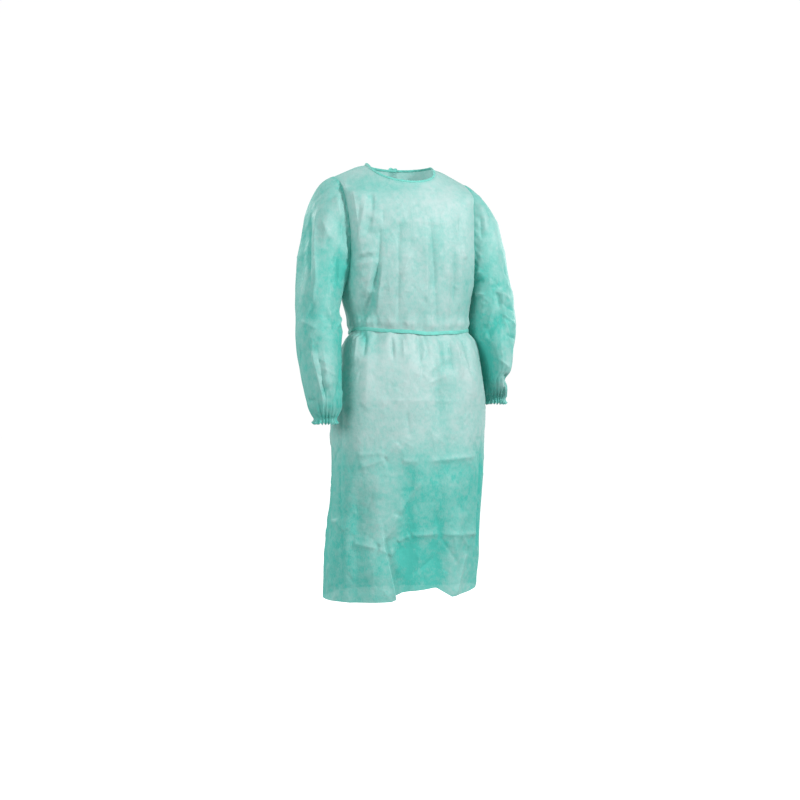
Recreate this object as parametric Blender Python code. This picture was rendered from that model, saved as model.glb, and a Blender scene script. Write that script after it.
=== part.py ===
"""A disposable isolation gown of thin non-woven cloth, in the hollow form that it has when worn.

Metres, +Z up. The front faces -Y and the gown's left is at +X. The origin is the middle of the
neck opening, and the hem hangs below it. The cut is one front panel, two back panels that overlap
down the open back, two set-in sleeves with gathered wrists, a bound neckline and a waist tie.
"""

import math
from collections import namedtuple

import bmesh
import bpy
import numpy as np

# Driving sizes
WALL = 0.0015
SEAM_GAP = 0.0003
LAID_ON_GAP = 0.0005
HEM_Z = -1.105
ARMPIT_Z = -0.335
TIE_BOTTOM_Z = -0.430
TIE_TOP_Z = -0.420
NECK_HALF_WIDTH = 0.092
NECK_POINT_Y, NECK_POINT_Z = 0.004, 0.018
NECK_FRONT_Y, NECK_FRONT_Z = -0.086, -0.040
NECK_BACK_Y, NECK_BACK_Z = 0.070, 0.010
SHOULDER_TIP_X, SHOULDER_TIP_Y, SHOULDER_TIP_Z = 0.178, 0.000, -0.024
SHOULDER_LEAN = 0.02
BINDING_HEIGHT, BINDING_WALL = 0.005, 0.0022
OVERLAP_NECK, OVERLAP_HEM = 0.010, 0.075
OVERLAP_LIFT = 0.004
CUFF_LENGTH, CUFF_PINCH = 0.018, 0.06
CUFF_WAVES, CUFF_WAVE_DEPTH = 12, 0.0022
KNOT_HALF_WIDTH, KNOT_HALF_DEPTH, KNOT_HALF_HEIGHT = 0.010, 0.0045, 0.0075
TAIL_WIDTH, TAIL_APART, TAIL_DRIFT = 0.009, 0.0054, 0.012
TAIL_DROP, WAIST_TAIL_STAND_OFF, NECK_TAIL_STAND_OFF = 0.001, 0.0015, 0.0002
WAIST_TAIL_LENGTH, NECK_TAIL_LENGTH = 0.26, 0.15
BINDING_LEAN = 0.3
# How far before the outer panel's free edge the tie starts to rise over it
TIE_STEP_ROOM = 0.010

# How many columns and rows the panels have
SHOULDER_COLUMNS, NECK_COLUMNS = 6, 9
BACK_NECK_COLUMNS, OVERLAP_COLUMNS = 5, 2
ARMHOLE_ROWS = 10
CAP_ROWS, FOREARM_ROWS = 9, 9
CUFF_ROWS, CUFF_POINTS_A_WAVE = 2, 4
KNOT_SEGMENTS, KNOT_RINGS = 12, 8
CENTRE_BACK_COLUMN = SHOULDER_COLUMNS + BACK_NECK_COLUMNS
NECK_SHARE = NECK_COLUMNS / (NECK_COLUMNS + SHOULDER_COLUMNS)

# Closed rings from the hem to the armpit. front, back and side are the depths in y.
Ring = namedtuple("Ring", "z half_width front back side centre")
RINGS = (
    Ring(HEM_Z, 0.203, -0.118, 0.135, -0.005, -0.002),
    Ring(-1.000, 0.206, -0.126, 0.136, -0.005, 0.004),
    Ring(-0.870, 0.203, -0.138, 0.137, -0.006, 0.014),
    Ring(-0.730, 0.203, -0.148, 0.138, -0.008, 0.019),
    Ring(-0.600, 0.203, -0.150, 0.130, -0.010, 0.020),
    Ring(-0.500, 0.189, -0.140, 0.112, -0.012, 0.021),
    Ring(-0.455, 0.176, -0.125, 0.096, -0.012, 0.021),
    Ring(TIE_BOTTOM_Z, 0.157, -0.115, 0.088, -0.012, 0.020),
    Ring(TIE_TOP_Z, 0.156, -0.114, 0.088, -0.012, 0.020),
    Ring(-0.385, 0.160, -0.120, 0.093, -0.008, 0.018),
    Ring(ARMPIT_Z, 0.172, -0.128, 0.104, 0.000, 0.017),
)
# Open sections from the armpit to the shoulder. The ends lie on the armholes.
Yoke = namedtuple("Yoke", "station front_z back_z end_z front back front_end back_end half_width centre")
YOKES = (
    Yoke(-0.270, -0.270, -0.270, -0.275, -0.134, 0.114, -0.052, 0.050, 0.167, 0.015),
    Yoke(-0.185, -0.185, -0.185, -0.175, -0.134, 0.118, -0.070, 0.062, 0.166, 0.013),
    Yoke(-0.110, -0.112, -0.100, -0.085, -0.121, 0.110, -0.056, 0.048, 0.172, 0.009),
    Yoke(-0.065, -0.076, -0.050, -0.045, -0.106, 0.094, -0.032, 0.028, 0.176, 0.006),
)
TOP_STATION = -0.020
SECTION_ROUNDNESS = 0.80
# The way the cap leaves the armhole: out, forward and down, and how much more at the shoulder tip
CAP_OUT, CAP_FORWARD, CAP_DOWN, CAP_TIP_LIFT = 0.75, 0.30, 0.55, 0.25
CAP_FULLNESS = 0.8

# How many equal rows lie between heights, from the hem up
RowBand = namedtuple("RowBand", "z_end rows")
ROW_BANDS = (
    RowBand(-0.930, 5),
    RowBand(-0.620, 5),
    RowBand(-0.455, 3),
    RowBand(TIE_BOTTOM_Z, 1),
    RowBand(TIE_TOP_Z, 1),
    RowBand(-0.395, 1),
    RowBand(ARMPIT_Z, 1),
    RowBand(TOP_STATION, ARMHOLE_ROWS),
)

# Sleeve rings below the cap. half_x and half_y are the half sizes of each level oval.
Oval = namedtuple("Oval", "z x y half_x half_y")
RIGHT_SLEEVE = (
    Oval(-0.400, -0.2315, -0.035, 0.0565, 0.085),
    Oval(-0.444, -0.2330, -0.050, 0.0575, 0.080),
    Oval(-0.490, -0.2330, -0.060, 0.0555, 0.075),
    Oval(-0.524, -0.2320, -0.068, 0.0525, 0.070),
    Oval(-0.566, -0.2300, -0.077, 0.0485, 0.064),
    Oval(-0.600, -0.2275, -0.085, 0.0460, 0.056),
    Oval(-0.622, -0.2260, -0.090, 0.0425, 0.047),
    Oval(-0.640, -0.2255, -0.094, 0.0325, 0.036),
)
LEFT_SLEEVE = (
    Oval(-0.400, 0.2505, -0.010, 0.0650, 0.085),
    Oval(-0.444, 0.2505, -0.022, 0.0550, 0.080),
    Oval(-0.490, 0.2545, -0.025, 0.0400, 0.075),
    Oval(-0.524, 0.2560, -0.025, 0.0350, 0.068),
    Oval(-0.546, 0.2500, -0.026, 0.0265, 0.054),
    Oval(-0.562, 0.2555, -0.025, 0.0290, 0.047),
    Oval(-0.580, 0.2590, -0.023, 0.0300, 0.038),
    Oval(-0.590, 0.2610, -0.020, 0.0295, 0.032),
)

# Soft ridges (positive) and troughs (negative) along straight lines, on the front, in x and z
Fold = namedtuple("Fold", "x0 z0 x1 z1 half depth")
FRONT_FOLDS = (
    Fold(-0.106, -0.065, -0.106, -0.137, 0.012, -0.005),
    Fold(-0.106, -0.130, -0.129, -0.190, 0.012, -0.005),
    Fold(-0.092, -0.250, -0.106, -0.328, 0.013, -0.006),
    Fold(-0.106, -0.320, -0.124, -0.412, 0.013, -0.007),
    Fold(0.040, -0.150, 0.052, -0.420, 0.014, -0.005),
    Fold(0.052, -0.440, 0.062, -0.700, 0.016, -0.006),
    Fold(-0.045, -0.330, -0.050, -0.520, 0.012, 0.005),
    Fold(-0.110, -0.430, -0.128, -0.640, 0.020, 0.007),
    Fold(0.130, -0.430, 0.165, -0.640, 0.020, 0.007),
    Fold(-0.140, -0.780, -0.155, -1.110, 0.022, -0.006),
    Fold(0.120, -0.850, 0.105, -1.110, 0.024, 0.010),
    Fold(0.060, -0.880, 0.060, -1.110, 0.026, -0.010),
)
BACK_FOLDS = (
    Fold(-0.100, -0.120, -0.085, -0.400, 0.020, 0.006),
    Fold(0.110, -0.100, 0.090, -0.400, 0.022, -0.006),
    Fold(-0.120, -0.460, -0.150, -1.080, 0.026, 0.010),
    Fold(0.120, -0.460, 0.145, -1.080, 0.026, 0.010),
    Fold(-0.070, -0.480, -0.090, -1.100, 0.022, -0.008),
    Fold(0.095, -0.700, 0.100, -1.100, 0.022, -0.008),
)
# A sleeve fold's turn is the share of the girth from the outside (0.25 front, 0.5 inside, 0.75 back)
SLEEVE_GIRTH = 0.44
SleeveFold = namedtuple("SleeveFold", "turn0 z0 turn1 z1 half depth")
SLEEVE_FOLDS = (
    SleeveFold(0.12, -0.080, 0.20, -0.240, 0.016, 0.006),
    SleeveFold(0.30, -0.090, 0.30, -0.230, 0.014, -0.006),
    SleeveFold(0.02, -0.120, 0.08, -0.340, 0.018, -0.006),
    SleeveFold(0.12, -0.450, 0.28, -0.600, 0.014, 0.006),
    SleeveFold(0.20, -0.380, 0.42, -0.430, 0.014, -0.006),
    SleeveFold(0.95, -0.360, 0.80, -0.430, 0.016, -0.006),
    SleeveFold(0.70, -0.100, 0.78, -0.300, 0.018, 0.006),
    SleeveFold(0.62, -0.450, 0.72, -0.580, 0.016, -0.005),
)

# Small gathers where the tie draws the waist in
WAIST_GATHERS = 16
GATHER_DEPTH, GATHER_REACH_UP, GATHER_REACH_DOWN = 0.0055, 0.045, 0.070
GATHER_UNEVENNESS, GATHER_DRIFT = 0.3, 0.9
# The share of the gathers that the tie presses flat, over this half height
TIE_PRESS, TIE_PRESS_HALF = 0.75, 0.012

# The front's hem stands forward at the near side and turns back at a fold
STEP_TOP_X, STEP_TOP_Z = -0.092, -0.890
STEP_HEM_X = -0.054
STEP_DEPTH, STEP_SHARPNESS, STEP_REACH = 0.044, 0.022, 0.150
# The hem's height above its ring, against x
HemPoint = namedtuple("HemPoint", "x rise")
HEM_POINTS = (
    HemPoint(-0.210, -0.008),
    HemPoint(-0.160, -0.010),
    HemPoint(-0.070, -0.003),
    HemPoint(-0.030, 0.014),
    HemPoint(0.065, 0.022),
    HemPoint(0.105, -0.001),
    HemPoint(0.160, 0.006),
    HemPoint(0.205, 0.016),
)
HEM_RISE_REACH = 0.16

# How far from a side seam, as a share of the panel, its own folds fade
SIDE_FADE = 0.15

CLOTH_COLOUR = (0.30, 0.68, 0.60, 1.0)
BINDING_COLOUR = (0.12, 0.50, 0.42, 1.0)
CLOTH_ROUGHNESS = 0.62


def smooth(x):
    """0 below 0, 1 above 1, and an S between."""
    x = np.clip(x, 0.0, 1.0)
    return x * x * (3 - 2 * x)


def unit(vectors):
    return vectors / np.maximum(np.linalg.norm(vectors, axis=-1, keepdims=True), 1e-12)


def loft(sections, stations, targets):
    """The points at each target station on a smooth surface through the sections."""
    sections, stations, targets = np.array(sections), np.array(stations), np.array(targets)
    slopes = np.gradient(sections, stations, axis=0)
    k = np.clip(np.searchsorted(stations, targets, side="right") - 1, 0, len(stations) - 2)
    span = (stations[k + 1] - stations[k])[:, None, None]
    t = (targets - stations[k])[:, None, None] / span
    return (
        (2 * t**3 - 3 * t**2 + 1) * sections[k]
        + (t**3 - 2 * t**2 + t) * span * slopes[k]
        + (3 * t**2 - 2 * t**3) * sections[k + 1]
        + (t**3 - t**2) * span * slopes[k + 1]
    )


def row_heights():
    heights = [HEM_Z]
    for band in ROW_BANDS:
        heights += list(np.linspace(heights[-1], band.z_end, band.rows + 1)[1:])
    return np.array(heights)


ROWS = row_heights()
ARMPIT_ROW = len(ROWS) - 1 - ARMHOLE_ROWS
TIE_ROW = int(np.argmin(abs(ROWS - TIE_BOTTOM_Z)))


class Sheet:
    """A grid of points in the middle of a cloth wall, with the wall's outward normals."""

    def __init__(self, name, points, outward, closed=False):
        self.name, self.points, self.closed = name, points, closed
        self.flip = False
        self.normals = self.find_normals()
        self.flip = float(np.sum(self.normals * outward)) < 0
        self.normals = self.find_normals()
        self.shift = np.zeros_like(points)

    def find_normals(self):
        points = self.points
        if self.closed:
            around = np.roll(points, -1, axis=1) - np.roll(points, 1, axis=1)
        else:
            around = np.gradient(points, axis=1)
        normals = unit(np.cross(np.gradient(points, axis=0), around))
        return -normals if self.flip else normals

    def move_out(self, height):
        """Moves every point along its normal, then finds the normals again."""
        self.points = self.points + self.normals * height[..., None]
        self.normals = self.find_normals()


class Edge:
    """A run of a sheet's boundary points, each with its neighbour inside the sheet."""

    def __init__(self, sheet, rows, columns, inner_rows, inner_columns):
        self.sheet = sheet
        self.at = np.array(rows), np.array(columns)
        self.inner = np.array(inner_rows), np.array(inner_columns)

    def get(self, array):
        return array[self.at]


def column_edge(sheet, column, inner_column, rows):
    rows = list(rows)
    return Edge(sheet, rows, [column] * len(rows), rows, [inner_column] * len(rows))


def row_edge(sheet, row, inner_row, columns):
    columns = list(columns)
    return Edge(sheet, [row] * len(columns), columns, [inner_row] * len(columns), columns)


def meet(first, second):
    """Brings two edges onto the line between them."""
    middle = (first.get(first.sheet.points) + second.get(second.sheet.points)) / 2
    first.sheet.points[first.at] = middle
    second.sheet.points[second.at] = middle


def share_normals(seams):
    """Gives both sides of each seam one normal, so that their rims lie face to face."""
    for _ in range(3):
        for first, second in seams:
            both = unit(first.get(first.sheet.normals) + second.get(second.sheet.normals))
            first.sheet.normals[first.at] = both
            second.sheet.normals[second.at] = both


def open_gaps(seams):
    """Parts the two sides of each seam by SEAM_GAP, across the seam in the cloth's own plane."""
    for first, second in seams:
        line = first.get(first.sheet.points)
        across = unit(np.cross(first.get(first.sheet.normals), np.gradient(line, axis=0)))
        outward = line - first.sheet.points[first.inner]
        across *= np.sign(np.sum(across * outward, axis=-1, keepdims=True))
        first.sheet.shift[first.at] -= across * SEAM_GAP / 2
        second.sheet.shift[second.at] += across * SEAM_GAP / 2


def arc(s, centre, half_width, end_y, middle_y, end_z, middle_z):
    """A section from one side (s = -1) through the middle (0) to the other side (1)."""
    turn = s * math.pi / 2
    rise = np.abs(np.cos(turn)) ** SECTION_ROUNDNESS
    x = centre + half_width * np.sin(turn)
    return np.stack([x, end_y + (middle_y - end_y) * rise, end_z + (middle_z - end_z) * rise], -1)


def top_line(s, middle_y, middle_z):
    """The shoulder seams, and between them the neckline."""
    side = np.sign(s)
    inward = np.clip((1 - np.abs(s)) / (1 - NECK_SHARE), 0, 1)[:, None]
    tip = np.stack([side * SHOULDER_TIP_X, 0 * s + SHOULDER_TIP_Y, 0 * s + SHOULDER_TIP_Z], -1)
    neck = np.stack([side * NECK_HALF_WIDTH, 0 * s + NECK_POINT_Y, 0 * s + NECK_POINT_Z], -1)
    seam = tip + (neck - tip) * inward
    inside = np.clip(s / NECK_SHARE, -1, 1)
    opening = arc(inside, 0.0, NECK_HALF_WIDTH, NECK_POINT_Y, middle_y, NECK_POINT_Z, middle_z)
    return np.where((np.abs(s) >= NECK_SHARE)[:, None], seam, opening)


def body_columns(positions, is_front):
    """The rows of points from the hem up. positions gives the columns' s for a height and a half width."""
    sections, stations = [], []
    for ring in RINGS:
        s = positions(ring.z, ring.half_width)
        depth = ring.front if is_front else ring.back
        sections.append(arc(s, ring.centre, ring.half_width, ring.side, depth, ring.z, ring.z))
        stations.append(ring.z)
    for yoke in YOKES:
        s = positions(yoke.station, yoke.half_width)
        depth = yoke.front if is_front else yoke.back
        end = yoke.front_end if is_front else yoke.back_end
        height = yoke.front_z if is_front else yoke.back_z
        sections.append(arc(s, yoke.centre, yoke.half_width, end, depth, yoke.end_z, height))
        stations.append(yoke.station)
    s = positions(TOP_STATION, NECK_HALF_WIDTH / NECK_SHARE)
    if is_front:
        sections.append(top_line(s, NECK_FRONT_Y, NECK_FRONT_Z))
    else:
        sections.append(top_line(s, NECK_BACK_Y, NECK_BACK_Z))
    stations.append(TOP_STATION)
    points = loft(sections, stations, ROWS)
    rings = len(RINGS)
    below = loft(sections[:rings], stations[:rings], ROWS[: ARMPIT_ROW + 1])
    on_side_seam = np.abs(s) > 1 - 1e-9
    points[: ARMPIT_ROW + 1, on_side_seam] = below[:, on_side_seam]
    lean = smooth((points[..., 2] - ARMPIT_Z) / abs(ARMPIT_Z))
    points[..., 2] -= SHOULDER_LEAN * points[..., 0] * lean
    return points


def fold_height(folds, across, along):
    """The sum of the folds' heights. Each follows a straight line and fades at both ends."""
    total = np.zeros_like(across)
    for fold in folds:
        start_across, start_along, end_across, end_along, half, depth = fold
        run_across, run_along = end_across - start_across, end_along - start_along
        length = math.hypot(run_across, run_along)
        beside, beyond = across - start_across, along - start_along
        t = (beside * run_across + beyond * run_along) / length**2
        off = (beside * run_along - beyond * run_across) / length
        total += depth * np.exp(-((off / half) ** 2)) * np.sin(np.pi * np.clip(t, 0, 1)) ** 0.5
    return total


def gather_height(turn, z):
    """The gathers that the tie makes, uneven round the waist and flat under the tie itself."""
    middle = (TIE_BOTTOM_Z + TIE_TOP_Z) / 2
    above = z - middle
    reach = np.where(above > 0, GATHER_REACH_UP, GATHER_REACH_DOWN)
    pressed = 1 - TIE_PRESS * np.exp(-((above / TIE_PRESS_HALF) ** 2))
    uneven = 1 - GATHER_UNEVENNESS * (1 - np.cos(2 * np.pi * (3 * turn + 0.2)))
    wave = -np.cos(2 * np.pi * WAIST_GATHERS * turn + GATHER_DRIFT * np.sin(4 * np.pi * turn))
    return GATHER_DEPTH * wave * uneven * pressed * np.exp(-((above / reach) ** 2))


def raise_hem(points, share):
    """Gives the hem its uneven height, where share is 1."""
    x, z = points[..., 0], points[..., 2]
    rise = np.interp(x, [point.x for point in HEM_POINTS], [point.rise for point in HEM_POINTS])
    points[..., 2] += rise * share * smooth((HEM_Z + HEM_RISE_REACH - z) / HEM_RISE_REACH)


def push_out_hem(points):
    """Pushes the front's hem out at the near side, up to the fold where it turns back."""
    x, z = points[..., 0], points[..., 2]
    down = smooth((STEP_TOP_Z - z) / (STEP_TOP_Z - HEM_Z))
    edge = STEP_TOP_X + (STEP_HEM_X - STEP_TOP_X) * (STEP_TOP_Z - z) / (STEP_TOP_Z - HEM_Z)
    inside = smooth((edge - x) / STEP_SHARPNESS + 0.5) * (1 - smooth((edge - x) / STEP_REACH))
    points[..., 1] -= STEP_DEPTH * down * inside


def hold_edges(s, z):
    """Keeps folds off the armholes, and off the shoulder seams and the neckline."""
    near_armhole = smooth((1 - np.abs(s)) / SIDE_FADE)
    above_armpit = smooth((z - ARMPIT_Z) / 0.02 + 1)
    below_top = np.ones((len(ROWS), 1))
    below_top[-2:] = 0
    return (1 - above_armpit * (1 - near_armhole)) * below_top


def front_positions(z, half_width):
    count = SHOULDER_COLUMNS + NECK_COLUMNS
    return np.arange(-count, count + 1) / count


def back_positions(z, half_width):
    """A back panel's columns from its side seam (1) to the centre back (0) and its free edge."""
    shoulder = 1 - np.arange(SHOULDER_COLUMNS + 1) / (SHOULDER_COLUMNS + NECK_COLUMNS)
    neck = NECK_SHARE * (1 - np.arange(1, BACK_NECK_COLUMNS + 1) / BACK_NECK_COLUMNS)
    drop = smooth((TOP_STATION - z) / (TOP_STATION - HEM_Z))
    overlap = OVERLAP_NECK + (OVERLAP_HEM - OVERLAP_NECK) * drop
    steps = np.arange(1, OVERLAP_COLUMNS + 1) / OVERLAP_COLUMNS
    return np.concatenate([shoulder, neck, -np.arcsin(steps * overlap / half_width) * 2 / math.pi])


def make_front():
    points = body_columns(front_positions, True)
    sheet = Sheet("front_panel", points, np.array([0.0, -1.0, 0.0]))
    s = front_positions(0, 1)[None, :]
    x, z = points[..., 0], points[..., 2]
    hold = hold_edges(s, z)
    height = fold_height(FRONT_FOLDS, x, z) * smooth((1 - np.abs(s)) / SIDE_FADE)
    sheet.move_out((height + gather_height(s / 4, z)) * hold)
    push_out_hem(sheet.points)
    raise_hem(sheet.points, 1.0)
    sheet.normals = sheet.find_normals()
    return sheet


def make_back(name, side, lift):
    """One back panel, from its side seam to a free edge past the centre back."""
    points = body_columns(lambda z, half_width: side * back_positions(z, half_width), False)
    sheet = Sheet(name, points, np.array([0.0, 1.0, 0.0]))
    s = np.stack([back_positions(z, RINGS[0].half_width) for z in ROWS])
    x, z = points[..., 0], points[..., 2]
    height = fold_height(BACK_FOLDS, x, z) * smooth((1 - s) / SIDE_FADE)
    gathers = gather_height(0.5 - side * s / 4, z)
    apart = lift * smooth((NECK_SHARE - s) / (NECK_SHARE / 2))
    sheet.move_out((height + gathers) * hold_edges(s, z) + apart)
    raise_hem(sheet.points, smooth((s - 0.3) / 0.7))
    sheet.normals = sheet.find_normals()
    return sheet


def oval_points(oval, side, count):
    """A level oval, counted from its outer side through its front, inner side and back."""
    turn = 2 * math.pi * np.arange(count) / count
    x = oval.x + side * oval.half_x * np.cos(turn)
    y = oval.y - oval.half_y * np.sin(turn)
    return np.stack([x, y, np.full(count, oval.z)], -1)


def armhole_points(front, back, side):
    """The armhole from the shoulder tip down the front to the armpit, then up the back."""
    rows = np.arange(len(ROWS) - 1, ARMPIT_ROW - 1, -1)
    front_column = -1 if side > 0 else 0
    down = front.points[rows, front_column]
    up = back.points[rows[::-1], 0]
    return np.concatenate([down, up[1:-1]])


def make_sleeve(name, ovals, side, front, back):
    start = armhole_points(front, back, side)
    count = len(start)
    turn = 2 * math.pi * np.arange(count) / count
    end = oval_points(ovals[0], side, count)
    reach = np.linalg.norm(end - start, axis=1, keepdims=True)
    lift = CAP_TIP_LIFT * np.cos(turn)
    leave = np.stack([side * (CAP_OUT + lift), -CAP_FORWARD * np.sin(turn), lift - CAP_DOWN], -1)
    path = np.array([[oval.x, oval.y, oval.z] for oval in ovals[:2]])
    arrive = unit(path[1] - path[0]) * reach
    leave = unit(leave) * reach * CAP_FULLNESS
    rows = []
    for t in np.linspace(0, 1, CAP_ROWS + 1):
        rows.append(
            (2 * t**3 - 3 * t**2 + 1) * start
            + (t**3 - 2 * t**2 + t) * leave
            + (3 * t**2 - 2 * t**3) * end
            + (t**3 - t**2) * arrive
        )
    heights = np.array([-oval.z for oval in ovals])
    rings = [oval_points(oval, side, count) for oval in ovals]
    targets = np.linspace(heights[0], heights[-1], FOREARM_ROWS + 1)[1:]
    points = np.concatenate([np.stack(rows), loft(rings, heights, targets)])
    centres = points.mean(axis=1, keepdims=True)
    sheet = Sheet(name, points, points - centres, closed=True)
    place = np.tile(turn / (2 * math.pi), (len(points), 1))
    folds = [
        fold._replace(turn0=fold.turn0 * SLEEVE_GIRTH, turn1=fold.turn1 * SLEEVE_GIRTH)
        for fold in SLEEVE_FOLDS
    ]
    height = np.zeros(points.shape[:2])
    for whole_turn in (-1, 0, 1):
        across = (place + whole_turn) * SLEEVE_GIRTH
        height += fold_height(folds, across, points[..., 2])
    height *= np.minimum(np.arange(len(points)) / 2, 1)[:, None]
    sheet.move_out(height)
    sheet.points[-1, :, 2] = ovals[-1].z
    return sheet


def make_cuff(name, oval, side):
    """The gathered casing of the wrist elastic, a ring of even waves."""
    count = CUFF_WAVES * CUFF_POINTS_A_WAVE
    wave = np.cos(2 * math.pi * np.arange(count) / CUFF_POINTS_A_WAVE) - 1
    rows = []
    for drop in np.linspace(0, 1, CUFF_ROWS + 1):
        pinch = 1 - CUFF_PINCH * math.sin(math.pi * drop)
        ring = Oval(
            oval.z - SEAM_GAP - CUFF_LENGTH * drop, oval.x, oval.y, oval.half_x * pinch, oval.half_y * pinch
        )
        rows.append(oval_points(ring, side, count))
    points = np.stack(rows)
    sheet = Sheet(name, points, points - points.mean(axis=1, keepdims=True), closed=True)
    sheet.move_out(np.tile(wave * CUFF_WAVE_DEPTH, (len(points), 1)))
    sheet.points[0, :, 2] = oval.z - SEAM_GAP
    return sheet


def level_rim(sheet, row):
    """Turns a ring's normals level, so that its rim lies flat against the next ring."""
    sheet.normals[row, :, 2] = 0
    sheet.normals[row] = unit(sheet.normals[row])


def lay_on(points, normals, lift=0.0):
    """The middle of a strip that lies on a cloth wall, or lift off it."""
    return points + normals * (WALL + LAID_ON_GAP + np.asarray(lift))[..., None]


def make_waist_tie(front, left, right):
    """The tie from the knot at the centre back, round the left side, the front and the right side."""
    rows = slice(TIE_ROW, TIE_ROW + 2)
    columns = [(left, j, 0.0) for j in range(CENTRE_BACK_COLUMN, 0, -1)]
    columns += [(front, j, 0.0) for j in range(front.points.shape[1] - 1, -1, -1)]
    free_edge = left.points.shape[1] - 1
    clear_x = left.points[TIE_ROW, free_edge, 0] - TIE_STEP_ROOM
    under = [j for j in range(1, CENTRE_BACK_COLUMN) if right.points[TIE_ROW, j, 0] < clear_x]
    columns += [(right, j, OVERLAP_LIFT + WALL if j == under[-1] else 0.0) for j in under]
    columns += [(left, j, 0.0) for j in range(free_edge, CENTRE_BACK_COLUMN - 1, -1)]
    points = np.stack([sheet.points[rows, j] for sheet, j, _ in columns], axis=1)
    normals = np.stack([sheet.normals[rows, j] for sheet, j, _ in columns], axis=1)
    lifts = np.tile([lift for _, _, lift in columns], (2, 1))
    points = lay_on(points, normals, lifts)
    points[:, 0] += unit(points[:, 1] - points[:, 0]) * (KNOT_HALF_WIDTH + SEAM_GAP)
    points[:, -1] += unit(points[:, -2] - points[:, -1]) * (KNOT_HALF_WIDTH + SEAM_GAP)
    return Sheet("waist_tie", points, normals)


def make_binding(front, left, right):
    """The strip that stands on the whole neckline. Its ends overlap as the back panels do."""
    last_neck_column = front.points.shape[1] - 1 - SHOULDER_COLUMNS
    runs = [(left, j) for j in range(left.points.shape[1] - 1, SHOULDER_COLUMNS, -1)]
    runs += [(front, j) for j in range(last_neck_column, SHOULDER_COLUMNS - 1, -1)]
    runs += [(right, j) for j in range(SHOULDER_COLUMNS + 1, right.points.shape[1])]
    line = np.stack([sheet.points[-1, j] for sheet, j in runs])
    normals = np.stack([sheet.normals[-1, j] for sheet, j in runs])
    up = unit(np.cross(normals, np.gradient(line, axis=0)))
    inward = unit(line * [-1, -1, 0]) + [0, 0, 1]
    up = up * np.sign(np.sum(up * inward, axis=-1, keepdims=True))
    up = unit(up + [0, 0, BINDING_LEAN])
    points = np.stack([line + up * (SEAM_GAP * 2), line + up * (SEAM_GAP * 2 + BINDING_HEIGHT)])
    return Sheet("neck_binding", points, np.tile(normals, (2, 1, 1)))


def down_column(sheet, column, start_z, drop):
    """A point of the sheet's column at a height, and the normal and the sideways direction there."""
    z = start_z - drop
    heights = sheet.points[:, column, 2]
    point = np.array([np.interp(z, heights, sheet.points[:, column, k]) for k in range(3)])
    normal = unit(np.array([np.interp(z, heights, sheet.normals[:, column, k]) for k in range(3)]))
    return point, normal, unit(np.cross([0.0, 0.0, 1.0], normal))


def make_tail(name, sheet, start_z, length, stand_off, side):
    """One loose end of a tie, hanging from its knot down the outer back panel, row by row."""
    heights = sheet.points[::-1, CENTRE_BACK_COLUMN, 2]
    passed = heights[(heights < start_z) & (heights > start_z - length)]
    rows = []
    normals = []
    for drop in [0.0, *(start_z - passed), length]:
        point, normal, sideways = down_column(sheet, CENTRE_BACK_COLUMN, start_z, drop)
        middle = lay_on(point, normal, stand_off)
        middle = middle + side * sideways * (TAIL_APART + TAIL_DRIFT * drop / length)
        rows.append([middle - sideways * TAIL_WIDTH / 2, middle + sideways * TAIL_WIDTH / 2])
        normals.append([normal, normal])
    return Sheet(name, np.array(rows), np.array(normals))


def add_knot(name, centre, normal, colour):
    """A tight flat knot, as a rounded lump that lies against the cloth behind it."""
    shape = bmesh.new()
    bmesh.ops.create_uvsphere(shape, u_segments=KNOT_SEGMENTS, v_segments=KNOT_RINGS, radius=1.0)
    sideways = unit(np.cross([0.0, 0.0, 1.0], normal))
    down = np.cross(sideways, normal)
    axes = np.array([sideways * KNOT_HALF_WIDTH, normal * KNOT_HALF_DEPTH, down * KNOT_HALF_HEIGHT])
    for vertex in shape.verts:
        vertex.co = centre + np.array(vertex.co) @ axes
    mesh = bpy.data.meshes.new(name)
    shape.to_mesh(mesh)
    shape.free()
    return add_object(name, mesh, colour)


def triangles_of(sheet):
    """The two triangles of each grid cell, split along its shorter diagonal."""
    rows, columns = sheet.points.shape[:2]
    found = []
    for i in range(rows - 1):
        for j in range(columns if sheet.closed else columns - 1):
            k = (j + 1) % columns
            a, b, c, d = (i, j), (i + 1, j), (i + 1, k), (i, k)
            first = np.linalg.norm(sheet.points[a] - sheet.points[c])
            second = np.linalg.norm(sheet.points[b] - sheet.points[d])
            pair = [(a, b, c), (a, c, d)] if first <= second else [(a, b, d), (b, c, d)]
            found += [tuple(p * columns + q for p, q in corner) for corner in pair]
    return [face[::-1] for face in found] if sheet.flip else found


def add_solid(sheet, colour, wall=WALL):
    """The closed wall of a sheet: its outer face, its inner face and the rims between them."""
    middle = (sheet.points + sheet.shift).reshape(-1, 3)
    half = sheet.normals.reshape(-1, 3) * wall / 2
    count = len(middle)
    outer = triangles_of(sheet)
    inner = [tuple(corner + count for corner in face[::-1]) for face in outer]
    edges = {(face[k], face[(k + 1) % 3]) for face in outer for k in range(3)}
    rims = []
    for start, end in sorted(edges):
        if (end, start) not in edges:
            rims += [(end, start, start + count), (end, start + count, end + count)]
    mesh = bpy.data.meshes.new(sheet.name)
    mesh.from_pydata(np.concatenate([middle + half, middle - half]).tolist(), [], outer + inner + rims)
    return add_object(sheet.name, mesh, colour)


def add_object(name, mesh, colour):
    mesh.shade_smooth()
    mesh.set_sharp_from_angle(angle=math.radians(60))
    material = bpy.data.materials.new(name)
    material.use_nodes = True
    shader = material.node_tree.nodes["Principled BSDF"]
    shader.inputs["Base Color"].default_value = colour
    shader.inputs["Roughness"].default_value = CLOTH_ROUGHNESS
    shader.inputs["Metallic"].default_value = 0.0
    mesh.materials.append(material)
    obj = bpy.data.objects.new(name, mesh)
    bpy.context.scene.collection.objects.link(obj)
    return obj


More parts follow.
